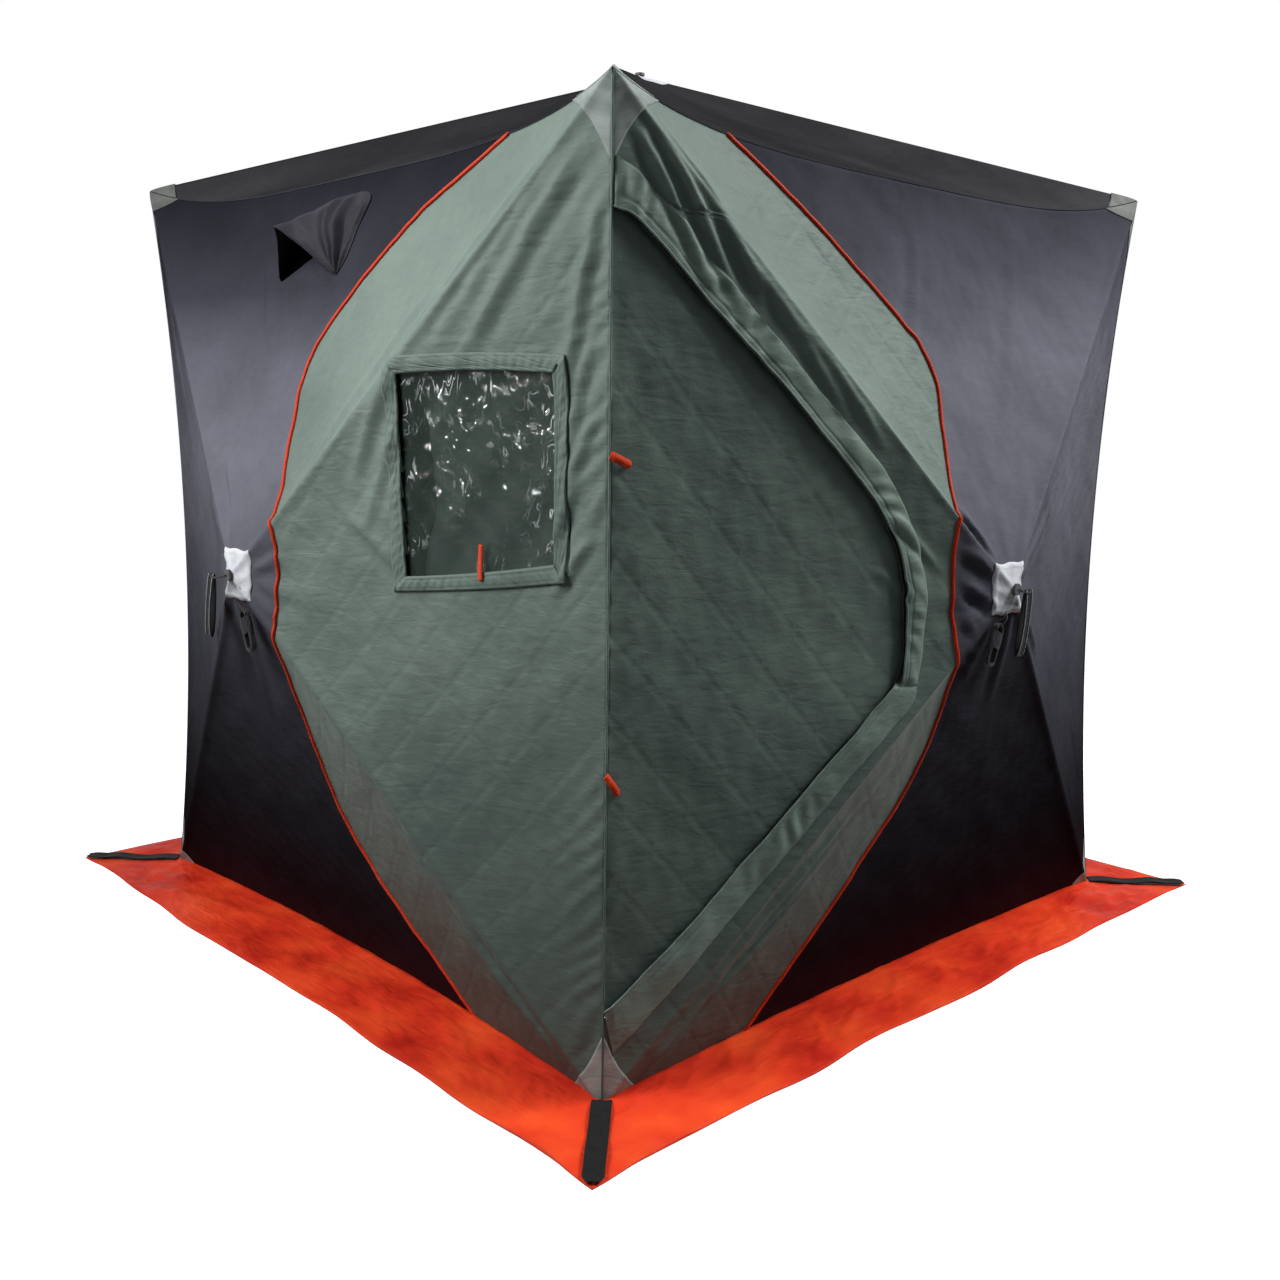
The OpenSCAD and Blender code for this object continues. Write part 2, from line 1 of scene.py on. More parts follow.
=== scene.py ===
"""Looks of a pop-up hub shelter: stretched cloth walls and roof, a zipped door, a clear window,
a hooded vent, a ground skirt and cords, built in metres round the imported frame."""
import math

import bpy
import numpy as np
from mathutils import Matrix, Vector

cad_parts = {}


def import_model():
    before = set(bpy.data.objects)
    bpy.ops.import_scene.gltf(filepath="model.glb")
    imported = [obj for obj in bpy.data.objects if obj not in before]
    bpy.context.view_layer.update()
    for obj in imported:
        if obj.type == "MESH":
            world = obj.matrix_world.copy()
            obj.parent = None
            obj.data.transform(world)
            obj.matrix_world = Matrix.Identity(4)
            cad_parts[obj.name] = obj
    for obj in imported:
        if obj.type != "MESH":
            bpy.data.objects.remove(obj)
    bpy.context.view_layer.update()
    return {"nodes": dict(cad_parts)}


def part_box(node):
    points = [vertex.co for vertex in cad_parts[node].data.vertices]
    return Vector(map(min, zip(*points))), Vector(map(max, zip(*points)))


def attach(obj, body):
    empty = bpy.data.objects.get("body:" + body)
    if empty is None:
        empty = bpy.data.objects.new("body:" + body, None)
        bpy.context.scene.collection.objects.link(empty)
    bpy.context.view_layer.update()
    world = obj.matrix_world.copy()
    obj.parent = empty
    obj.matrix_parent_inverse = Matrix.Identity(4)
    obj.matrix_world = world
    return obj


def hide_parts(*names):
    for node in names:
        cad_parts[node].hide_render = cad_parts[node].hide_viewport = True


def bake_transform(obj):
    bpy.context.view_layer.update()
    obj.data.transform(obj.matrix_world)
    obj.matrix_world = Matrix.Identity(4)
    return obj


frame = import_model()

# ---------------------------------------------------------------- sizes, in metres
HALF = -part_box("front_lower_panel")[0].x
CORNER_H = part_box("front_upper_panel")[1].z
ROOF_RISE = 0.290
HUB_BULGE = 0.253
HUB_Z = 0.911
PANEL_W = math.hypot(HALF, HUB_BULGE)
ALONG_PANEL = HALF / PANEL_W          # X travelled for each metre along a near panel
SKIRT_OUT = -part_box("skirt_front")[0].y
CLOTH_T = 0.004
CREASE_SHARPNESS = 60                 # how sharply the cloth bends over a pole
EAVE_IN, EAVE_SAG = 0.045, 0.062      # how far the middle of an eave draws in and sags
SEAM_SETTLE = 0.014                   # how far from a seam the folds take to reach full height
POLE_PRINT, POLE_WIDE = 0.0035, 0.016  # how far a pole shows through the cloth, and its half width
PANEL_DIP = 0.012                     # how far a panel's middle draws in between its poles
# How far each upright corner edge and each base edge draws in at its middle
CORNER_BOW = {"near": 0.022, "right": 0.038, "left": 0.038, "far": 0.034}
BASE_BOW = {"door": 0.020, "window": 0.042, "right": 0.026, "back": 0.030}
WALL_ENDS = {"door": ("near", "right"), "window": ("near", "left"),
             "right": ("far", "right"), "back": ("far", "left")}
# How a point of the door wall goes to each wall: X and Y swapped, or turned half way round
WALL_TURN = {"door": ((1, 0), (0, 1)), "window": ((0, 1), (1, 0)),
             "right": ((0, -1), (-1, 0)), "back": ((-1, 0), (0, -1))}
WALL_MIRRORED = {"door": False, "window": True, "right": True, "back": False}


# ---------------------------------------------------------------- small helpers
def smooth(x):
    """Smooth step: 0 below 0, 1 above 1, and 3x^2 - 2x^3 between."""
    x = np.clip(x, 0, 1)
    return x * x * (3 - 2 * x)


def ripple(p, q, seed, longest, shortest, waves=9):
    """Smooth noise of about unit size: a sum of sines of random direction and phase, whose
    wavelengths run evenly in ratio from the longest to the shortest."""
    rng = np.random.default_rng(seed)
    lengths = np.geomspace(longest, shortest, waves)
    angles, phases = rng.uniform(0, 2 * np.pi, (2, waves))
    total = 0
    for wavelength, angle, phase in zip(lengths, angles, phases):
        turns = (p * np.cos(angle) + q * np.sin(angle)) / wavelength
        total = total + np.sin(2 * np.pi * turns + phase) * (wavelength / longest) ** 0.7
    return total / math.sqrt(waves / 2)


def curve_through(points, n):
    """n points evenly spaced along a smooth line through the given ones: a Catmull-Rom curve,
    sampled finely and then stepped off by length."""
    p = np.asarray(points, float)
    ends = np.vstack([2 * p[0] - p[1], p, 2 * p[-1] - p[-2]])
    a, b, c, d = ends[:-3, None], ends[1:-2, None], ends[2:-1, None], ends[3:, None]
    t = np.linspace(0, 1, 24, endpoint=False)[None, :, None]
    fine = 0.5 * (2 * b + (c - a) * t + (2 * a - 5 * b + 4 * c - d) * t**2
                  + (3 * b - a - 3 * c + d) * t**3)
    fine = np.vstack([fine.reshape(-1, p.shape[1]), p[-1:]])
    run = np.concatenate([[0], np.cumsum(np.linalg.norm(np.diff(fine, axis=0), axis=1))])
    at = np.linspace(0, run[-1], n)
    return np.stack([np.interp(at, run, fine[:, k]) for k in range(p.shape[1])], -1)


def turned(points, wall):
    """Door-wall points carried to another wall."""
    out = np.array(points, float)
    turn = np.array(WALL_TURN[wall], float)
    out[..., :2] = out[..., :2] @ turn.T
    return out


def filled_mesh(name, points, faces, material, uv=None):
    """A smooth shaded mesh; uv holds one pair for each point."""
    mesh = bpy.data.meshes.new(name)
    mesh.from_pydata(np.asarray(points, float).reshape(-1, 3).tolist(), [], faces.tolist())
    mesh.validate()
    mesh.polygons.foreach_set("use_smooth", np.ones(len(mesh.polygons), bool))
    if uv is not None:
        corners = np.zeros(len(mesh.loops), np.int32)
        mesh.loops.foreach_get("vertex_index", corners)
        layer = mesh.uv_layers.new(name="UVMap")
        layer.data.foreach_set("uv", np.asarray(uv, np.float32).reshape(-1, 2)[corners].ravel())
    mesh.materials.append(material)
    return mesh


def mesh_object(name, points, faces, material, uv=None):
    """A mesh object at the origin."""
    obj = bpy.data.objects.new(name, filled_mesh(name, points, faces, material, uv))
    bpy.context.scene.collection.objects.link(obj)
    return obj


def grid_faces(rows, cols, flip=False, wrap=False):
    """Quads of a grid of points in rows; wrap joins the last column to the first."""
    r, c = np.meshgrid(np.arange(rows - 1), np.arange(cols if wrap else cols - 1), indexing="ij")
    r, c, d = r.ravel(), c.ravel(), (c.ravel() + 1) % cols
    quads = np.stack([r * cols + c, r * cols + d, (r + 1) * cols + d, (r + 1) * cols + c], -1)
    return quads[:, ::-1].copy() if flip else quads


def thicken(obj, thickness, offset=-1.0):
    """Gives a sheet its thickness, inwards from its outer face by default."""
    solid = obj.modifiers.new("thickness", "SOLIDIFY")
    solid.thickness, solid.offset, solid.use_even_offset = thickness, offset, False
    return obj


def belongs(obj, body, replaces=()):
    """Says which body a piece rides on and the nodes that it replaces."""
    if body:
        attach(obj, body)
    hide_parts(*replaces)
    return obj


def surface(name, points, material, body="shelter", flip=False, uv=None, replaces=(),
            falling=None):
    """A sheet from a grid of points, which rides on a body. Where falling, a number for each
    point, is given, the sheet is made of triangles, cut along the diagonal that falls where it
    is negative and along the one that rises elsewhere, so that creases stay straight."""
    rows, cols = points.shape[:2]
    if uv is None:
        run_r = np.cumsum(np.linalg.norm(np.diff(points, axis=0, prepend=points[:1]), axis=-1), 0)
        across = np.diff(points, axis=1, prepend=points[:, :1])
        run_c = np.cumsum(np.linalg.norm(across, axis=-1), 1)
        uv = np.stack([run_c, run_r], -1)
    faces = grid_faces(rows, cols, flip)
    if falling is not None:
        other = (falling[:-1, :-1] + falling[1:, 1:] < 0).ravel() ^ flip
        faces[other] = np.roll(faces[other], -1, axis=1)
        faces = np.vstack([faces[:, [0, 1, 2]], faces[:, [0, 2, 3]]])
    return belongs(mesh_object(name, points, faces, material, uv), body, replaces)


def tube(name, path, radius, material, facing, sides=10, body="shelter", flat=1.0,
         replaces=()):
    """A tube along a path: each ring is an ellipse across the path's direction, radius wide
    and radius times flat thick towards the facing vector, and a point closes each end."""
    path = np.asarray(path, float)
    ahead = np.gradient(path, axis=0)
    ahead /= np.linalg.norm(ahead, axis=1, keepdims=True)
    out = np.broadcast_to(np.asarray(facing, float), path.shape)
    across = np.cross(ahead, out)
    across /= np.linalg.norm(across, axis=1, keepdims=True)
    out = np.cross(across, ahead)
    angle = np.linspace(0, 2 * np.pi, sides, endpoint=False)
    radius = np.broadcast_to(np.asarray(radius, float), path.shape[:1])[:, None, None]
    rings = path[:, None] + radius * (np.cos(angle)[None, :, None] * across[:, None]
                                      + flat * np.sin(angle)[None, :, None] * out[:, None])
    n = len(path)
    quads = grid_faces(n, sides, wrap=True)
    run = np.concatenate([[0], np.cumsum(np.linalg.norm(np.diff(path, axis=0), axis=1))])
    girth = np.linspace(0, 2 * np.pi * radius.max(), sides, endpoint=False)
    uv = np.stack(np.broadcast_arrays(girth[None, :], run[:, None]), -1).reshape(-1, 2)
    points = rings.reshape(-1, 3)
    ring = np.arange(sides)
    after = (ring + 1) % sides
    first, last = len(points), len(points) + 1
    points = np.vstack([points, path[:1] - ahead[:1] * radius[0, 0] * 0.6,
                        path[-1:] + ahead[-1:] * radius[-1, 0] * 0.6])
    uv = np.vstack([uv, [[0, 0]], [[0, run[-1]]]])
    start = np.stack([np.full(sides, first), after, ring, ring], -1)
    end = np.stack([np.full(sides, last), (n - 1) * sides + ring,
                    (n - 1) * sides + after, (n - 1) * sides + after], -1)
    faces = [list(dict.fromkeys(face)) for face in np.vstack([quads, start, end]).tolist()]
    obj = mesh_object(name, points, np.array(faces, dtype=object), material, uv)
    return belongs(obj, body, replaces)


# ---------------------------------------------------------------- materials
def linear(hex_colour):
    """sRGB hex to the linear values that shaders take."""
    parts = [int(hex_colour[i:i + 2], 16) / 255 for i in (1, 3, 5)]
    return tuple(c / 12.92 if c <= 0.04045 else ((c + 0.055) / 1.055) ** 2.4 for c in parts) + (1,)


def add(tree, kind, inputs=None, **settings):
    """Adds a node, sets its settings, and fills its inputs with values or another node's output."""
    made = tree.nodes.new(kind)
    for key, value in settings.items():
        setattr(made, key, value)
    for key, value in (inputs or {}).items():
        socket = made.inputs[key]
        if isinstance(value, bpy.types.NodeSocket):
            tree.links.new(value, socket)
        else:
            socket.default_value = value
    return made


def shader(name, **sockets):
    """A new material with one Principled BSDF, its sockets set, with its tree and the BSDF."""
    material = bpy.data.materials.new(name)
    material.use_nodes = True
    tree = material.node_tree
    bsdf = tree.nodes["Principled BSDF"]
    for key, value in sockets.items():
        bsdf.inputs[key.replace("_", " ")].default_value = value
    return material, tree, bsdf


def ramp(tree, factor, stops):
    """A colour ramp whose stops are (position, hex colour)."""
    made = add(tree, "ShaderNodeValToRGB", {"Fac": factor})
    elements = made.color_ramp.elements
    while len(elements) < len(stops):
        elements.new(0.5)
    for element, (position, colour) in zip(elements, stops):
        element.position, element.color = position, linear(colour)
    return made.outputs["Color"]


def spot(tree, output="UV"):
    """Where a point is: on the sheet's own flat (UV), or in the frame (Object)."""
    return add(tree, "ShaderNodeTexCoord").outputs[output]


def noise(tree, vector, size, detail, **more):
    """Cloudy noise whose lumps are size metres across."""
    inputs = {"Vector": vector, "Scale": 1 / size, "Detail": detail, **more}
    return add(tree, "ShaderNodeTexNoise", inputs).outputs["Fac"]


def threads(tree, vector, pitch, direction, distortion=0.0, detail_scale=1.0):
    """Parallel threads, pitch metres apart, as a wave from 0 to 1 across them."""
    inputs = {"Vector": vector, "Scale": 1 / pitch / 6.28, "Distortion": distortion,
              "Detail Scale": detail_scale}
    return add(tree, "ShaderNodeTexWave", inputs, bands_direction=direction).outputs["Fac"]


def slanted(tree, vector, turn, scale=(1, 1, 1)):
    """A vector turned about the sheet's own normal, by radians, and then scaled."""
    inputs = {"Vector": vector, "Rotation": (0, 0, turn), "Scale": scale}
    return add(tree, "ShaderNodeMapping", inputs).outputs[0]


def coordinate(tree, vector, axis):
    """One coordinate of a vector."""
    return add(tree, "ShaderNodeSeparateXYZ", {0: vector}).outputs[axis]


def maths(tree, operation, *values):
    """One sum on values or outputs."""
    return add(tree, "ShaderNodeMath", dict(enumerate(values)), operation=operation).outputs[0]


def folded(tree, operation, values):
    """The same sum carried through a list."""
    total = values[0]
    for value in values[1:]:
        # The insect net under the hood's mouth. Near black and without shine, it is partly painted
        # shade for the hollow under the hood.
        total = maths(tree, operation, total, value)
    return total


def remap(tree, value, from_min, from_max, to_min=0.0, to_max=1.0, **settings):
    """A value carried from one range to another and kept inside it."""
    inputs = {"Value": value, "From Min": from_min, "From Max": from_max, "To Min": to_min,
              "To Max": to_max}
    return add(tree, "ShaderNodeMapRange", inputs, **settings).outputs[0]


def bump(tree, height, strength, distance, normal=None):
    """A bumped normal, distance metres deep, on top of another one where that is given."""
    inputs = {"Height": height, "Strength": strength, "Distance": distance}
    if normal is not None:
        inputs["Normal"] = normal
    return add(tree, "ShaderNodeBump", inputs).outputs[0]


def dressed(tree, bsdf, colour, normal):
    """Links the colour and the normal to the BSDF."""
    tree.links.new(colour, bsdf.inputs["Base Color"])
    tree.links.new(normal, bsdf.inputs["Normal"])


def shaded_by_height(tree, colour, height_shade):
    """The colour times painted shade that changes with the height over the ice."""
    height = maths(tree, "MULTIPLY", coordinate(tree, spot(tree, "Object"), 2), 1 / CORNER_H)
    inputs = {"Factor": 1.0, "A": colour, "B": ramp(tree, height, height_shade)}
    return add(tree, "ShaderNodeMix", inputs, data_type="RGBA",
               blend_type="MULTIPLY").outputs["Result"]


def crumples(tree, uv, sizes, detail, roughness, distortion, strength, normal=None):
    """Soft creases on top of a normal: each is turned, squeezed, and has a size and a depth."""
    for turn, squeeze, size, deep in sizes:
        run = slanted(tree, uv, turn, (1, squeeze, 1))
        crease = noise(tree, run, size, detail, Roughness=roughness, Distortion=distortion)
        normal = bump(tree, crease, strength, deep, normal)
    return normal


def tent_cloth(name, dark, mid, light, roughness, specular, quilt_mm=0.0, height_shade=None,
               crumpled=1.0):
    """Coated polyester, woven and then calendered: a soft satin face, faint slubs, small crumples
    that run both ways, and, where it is quilted, a diamond of stitched channels. The thread's real
    0.3 mm is too fine to show, so it is drawn at 1.6 mm. Painted shade darkens it by height."""
    material, tree, bsdf = shader(name, Roughness=roughness, IOR=1.48,
                                  Specular_IOR_Level=specular)
    uv = spot(tree)
    cloud = noise(tree, uv, 0.35, 4.0)
    slubs = noise(tree, uv, 0.022, 3.0, Roughness=0.7)
    colour = ramp(tree, maths(tree, "MULTIPLY_ADD", slubs, 0.25, cloud),
                  [(0.40, dark), (0.60, mid), (0.84, light)])
    # Painted shade: the colour darkens by height towards the foot and the eaves
    if height_shade:
        colour = shaded_by_height(tree, colour, height_shade)
    gloss = remap(tree, cloud, 0.3, 0.7, roughness - 0.06, roughness + 0.08)
    tree.links.new(gloss, bsdf.inputs["Roughness"])
    weave = folded(tree, "MULTIPLY", [
        threads(tree, slanted(tree, uv, turn), 0.0016, "X", 1.5, 2.0)
        for turn in (0.0, math.pi / 2)])
    sizes = [(turn, squeeze, size, deep * crumpled) for turn, squeeze, size, deep in (
        (0.75, 3.2, 0.09, 0.0022), (-0.9, 2.6, 0.05, 0.0012), (0.2, 1.6, 0.016, 0.0003))]
    normal = crumples(tree, uv, sizes, 3.0, 0.55, 0.6, 1.0, bump(tree, weave, 0.12, 0.0004))
    if quilt_mm:
        groove = folded(tree, "MINIMUM", [
            maths(tree, "PINGPONG", coordinate(tree, slanted(tree, uv, turn), 0), quilt_mm / 2000)
            for turn in (0.86, -0.72)])
        channel = remap(tree, groove, 0.0, 0.012, interpolation_type="SMOOTHSTEP")
        normal = bump(tree, channel, 0.42, 0.0012, normal)
    dressed(tree, bsdf, colour, normal)
    return material


def skirt_nylon():
    """Thin coated nylon, hi-vis orange: a bright satin that creases softly, redder in some broad
    patches and more orange in others."""
    material, tree, bsdf = shader("hi_vis_coated_nylon", Roughness=0.45,
                                  Specular_IOR_Level=0.06)
    uv = spot(tree)
    colour = ramp(tree, noise(tree, uv, 0.16, 3.0),
                  [(0.30, "#c4291c"), (0.50, "#e43e22"), (0.72, "#f55329")])
    creases = ((0.5, 3.4, 0.11, 0.0060), (-1.0, 2.8, 0.05, 0.0026))
    dressed(tree, bsdf, colour, crumples(tree, uv, creases, 1.0, 0.4, 0.8, 0.8))
    return material


def patch_cloth(name, dark, light):
    """Ripstop patch: pale coated nylon with a grid of heavier threads, drawn every 7 mm."""
    material, tree, bsdf = shader(name, Roughness=0.55, Specular_IOR_Level=0.1)
    uv = spot(tree)
    colour = ramp(tree, noise(tree, uv, 0.05, 5.0), [(0.35, dark), (0.65, light)])
    lines = folded(tree, "MINIMUM", [
        maths(tree, "PINGPONG", coordinate(tree, uv, axis), 0.0035) for axis in (0, 1)])
    rib = remap(tree, lines, 0.0, 0.0008, 1.0, 0.0)
    crumple = bump(tree, noise(tree, uv, 0.03, 3.0), 0.7, 0.003)
    dressed(tree, bsdf, colour, bump(tree, rib, 0.3, 0.0003, crumple))
    return material


def webbing(name, ground, edge, roughness=0.7, specular=0.12):
    """Woven nylon webbing: close ribs across its length, 2.2 mm apart, with a dull shine."""
    material, tree, bsdf = shader(name, Roughness=roughness, Specular_IOR_Level=specular)
    uv = spot(tree)
    ribs = threads(tree, uv, 0.0022, "Y", 1.2, 3.0)
    worn = maths(tree, "MULTIPLY", ribs, noise(tree, uv, 0.02, 5.0))
    dressed(tree, bsdf, ramp(tree, worn, [(0.0, ground), (0.8, edge)]),
            bump(tree, ribs, 0.5, 0.0005))
    return material


def braided_cord(name, dark, light):
    """Braided cord: crossed strands wind round it, drawn 3 mm long."""
    material, tree, bsdf = shader(name, Roughness=0.6, Specular_IOR_Level=0.15)
    uv = spot(tree)
    strands = folded(tree, "MAXIMUM", [
        threads(tree, slanted(tree, uv, turn), 0.003, "Y") for turn in (0.8, -0.8)])
    dressed(tree, bsdf, ramp(tree, strands, [(0.2, dark), (1.0, light)]),
            bump(tree, strands, 0.6, 0.0005))
    return material


def clear_vinyl():
    """Plasticised PVC sheet: glass clear and soft. It is crimped beside its stitching, mostly along
    the top and the side by the corner, and is calm in the middle. Where it is crimped it shows a
    lamp as small bright squiggles, and thin crease lines there are painted highlights: pale, near
    opaque."""
    material, tree, bsdf = shader("clear_pvc_sheet", Roughness=0.03, IOR=1.54,
                                  Specular_IOR_Level=0.25)
    uv = spot(tree)
    by_top = remap(tree, coordinate(tree, uv, 1), 0.245, 0.325)
    by_corner = remap(tree, coordinate(tree, uv, 0), 0.085, 0.020)
    spots = remap(tree, noise(tree, uv, 0.10, 0.0), 0.50, 0.62, 0.0, 0.75)
    crimped = folded(tree, "MAXIMUM", [by_top, by_corner, spots])
    slant = slanted(tree, uv, 0.75, (1.0, 0.42, 1.0))
    small = noise(tree, slant, 0.030, 2.0, Distortion=1.4)
    off_line = maths(tree, "ABSOLUTE", maths(tree, "SUBTRACT", small, 0.5))
    line = remap(tree, off_line, 0.026, 0.004)
    broken = remap(tree, noise(tree, uv, 0.035, 1.0), 0.46, 0.60)
    # Painted highlights: pale, near opaque thin crease lines where the sheet is crimped
    painted_glints = maths(tree, "MULTIPLY", line, maths(tree, "MULTIPLY", broken, crimped))
    tree.links.new(remap(tree, painted_glints, 0.0, 1.0, 0.36, 0.95), bsdf.inputs["Alpha"])
    fold = bump(tree, noise(tree, slant, 0.07, 1.0, Distortion=0.8), 1.0, 0.005)
    squiggle = maths(tree, "MULTIPLY", small, crimped)
    dressed(tree, bsdf, ramp(tree, painted_glints, [(0.0, "#33443b"), (1.0, "#d9dedb")]),
            bump(tree, squiggle, 1.0, 0.006, fold))
    material.surface_render_method = "BLENDED"
    return material


def moulded_nylon():
    """Glass-filled nylon, injection moulded: dark, fine grained, a dull satin."""
    material, tree, bsdf = shader("moulded_nylon", Roughness=0.5, IOR=1.53)
    place = spot(tree, "Object")
    grain = bump(tree, noise(tree, place, 0.0012, 2.0), 0.3, 0.0003)
    scuff = noise(tree, place, 0.02, 5.0)
    dressed(tree, bsdf, ramp(tree, scuff, [(0.3, "#151517"), (0.75, "#2b2b2e")]), grain)
    return material


def pultruded_rod():
    """Pultruded glass-fibre rod: black resin over fibres, seen as faint streaks."""
    material, tree, bsdf = shader("pultruded_glass_fibre", Roughness=0.32, IOR=1.55)
    streak = noise(tree, spot(tree, "Object"), 0.008, 6.0, Distortion=0.4)
    dressed(tree, bsdf, ramp(tree, streak, [(0.3, "#18181a"), (0.7, "#39393c")]),
            bump(tree, streak, 0.25, 0.0003))
    return material


def plated_brass():
    """Nickel-plated brass grommet: a bright metal, slightly scuffed."""
    material, tree, bsdf = shader("plated_brass", Metallic=1.0, Roughness=0.3)
    scuff = noise(tree, spot(tree, "Object"), 0.003, 6.0)
    tree.links.new(ramp(tree, scuff, [(0.3, "#55565a"), (0.7, "#8f9196")]),
                   bsdf.inputs["Base Color"])
    tree.links.new(remap(tree, scuff, 0.0, 1.0, 0.2, 0.45), bsdf.inputs["Roughness"])
    return material


# Painted shade: how much of its full colour each cloth keeps, from 0 at the ice to 1 at the
# eaves. It darkens towards the foot and under the eaves, where less light falls. The red tint at
# the charcoal's foot is painted light thrown back from the orange skirt, and the window wall's
# copy is darker at its top.
GREEN_PAINTED_SHADE = [(0.0, "#c2c2c2"), (0.20, "#d2d2d2"), (0.36, "#efefef"), (0.52, "#ffffff")]
CHARCOAL_PAINTED_SHADE = [(0.0, "#7a4c4e"), (0.08, "#685456"), (0.18, "#747274"), (0.33, "#a4a4a5"),
        (0.43, "#c8c8c9"), (0.53, "#eaeaea"), (0.64, "#ffffff"), (0.77, "#f6f6f7"),
        (0.88, "#b8b8bb"), (1.0, "#767679")]
WINDOW_PAINTED_SHADE = CHARCOAL_PAINTED_SHADE[:-3] + [(0.75, "#d8d8da"), (0.84, "#8c8c90"), (1.0, "#4c4c50")]
GREEN = tent_cloth("grey_green_quilted_polyester", "#616f69", "#6b7a72", "#77867d", 0.50, 0.08,
                   96, GREEN_PAINTED_SHADE)
# Painted light: the flap's plain, unquilted green is a lighter copy of the door's, for its lit face
LIT_FLAP_GREEN = tent_cloth("grey_green_plain_polyester_painted_light", "#68776f", "#73847a", "#809186", 0.46, 0.12)
CHARCOAL = tent_cloth("charcoal_polyester_painted_shade", "#5c5d64", "#666770", "#70717b", 0.55, 0.0,
                      0, CHARCOAL_PAINTED_SHADE, 0.55)
WINDOW_CHARCOAL = tent_cloth("charcoal_polyester_painted_shade_window_wall", "#5c5d64", "#666770",
                             "#70717b", 0.55, 0.0, 0, WINDOW_PAINTED_SHADE, 0.55)
# Painted shade: the roof's charcoal is a darker copy of the walls', for slopes that catch less
# light
SHADED_ROOF_CHARCOAL = tent_cloth("charcoal_roof_polyester_painted_shade", "#262628", "#2d2d2f", "#363638", 0.6, 0.0,
                           0, None, 0.5)
ORANGE = skirt_nylon()
PIPING = webbing("orange_piping_cord", "#a8200c", "#f2501e", 0.5)
LIGHT_PATCH = patch_cloth("light_ripstop_patch", "#bcc0c5", "#dcdee1")
GREY_PATCH = patch_cloth("grey_ripstop_patch", "#7b8581", "#9aa39f")
# Painted shade: a darker copy of the grey patch, for the three far top corners
SHADED_GREY_PATCH = patch_cloth("ripstop_patch_painted_shade", "#4b4d4a", "#5f615e")
BLACK_WEBBING = webbing("black_nylon_webbing", "#0c0c0d", "#2c2c2e")
# Pale lines along the edges of the pull straps' outer strand
PALE_EDGE_LINE = webbing("pale_webbing_edge_line", "#8f9391", "#c3c7c6")
BLACK_CORD = braided_cord("black_braided_cord", "#0d0d0e", "#2e2e31")
TAB_ORANGE = webbing("orange_tab_webbing", "#c9361a", "#ff6632", 0.55)
VINYL = clear_vinyl()
NYLON = moulded_nylon()
ROD = pultruded_rod()
HOOD_CHARCOAL = tent_cloth("charcoal_hood_polyester", "#222226", "#2a2a2f", "#34343a", 0.5, 0.04)
# Partly painted shade: the net is near black and without shine, standing for the shade inside the
# hood
NET_AND_PAINTED_SHADE = webbing("black_insect_net_painted_shade", "#020202", "#060607", 0.95, 0.0)
PLATED = plated_brass()
ZIP = webbing("black_zip_tape", "#0c0c0d", "#2a2a2c", 0.45)
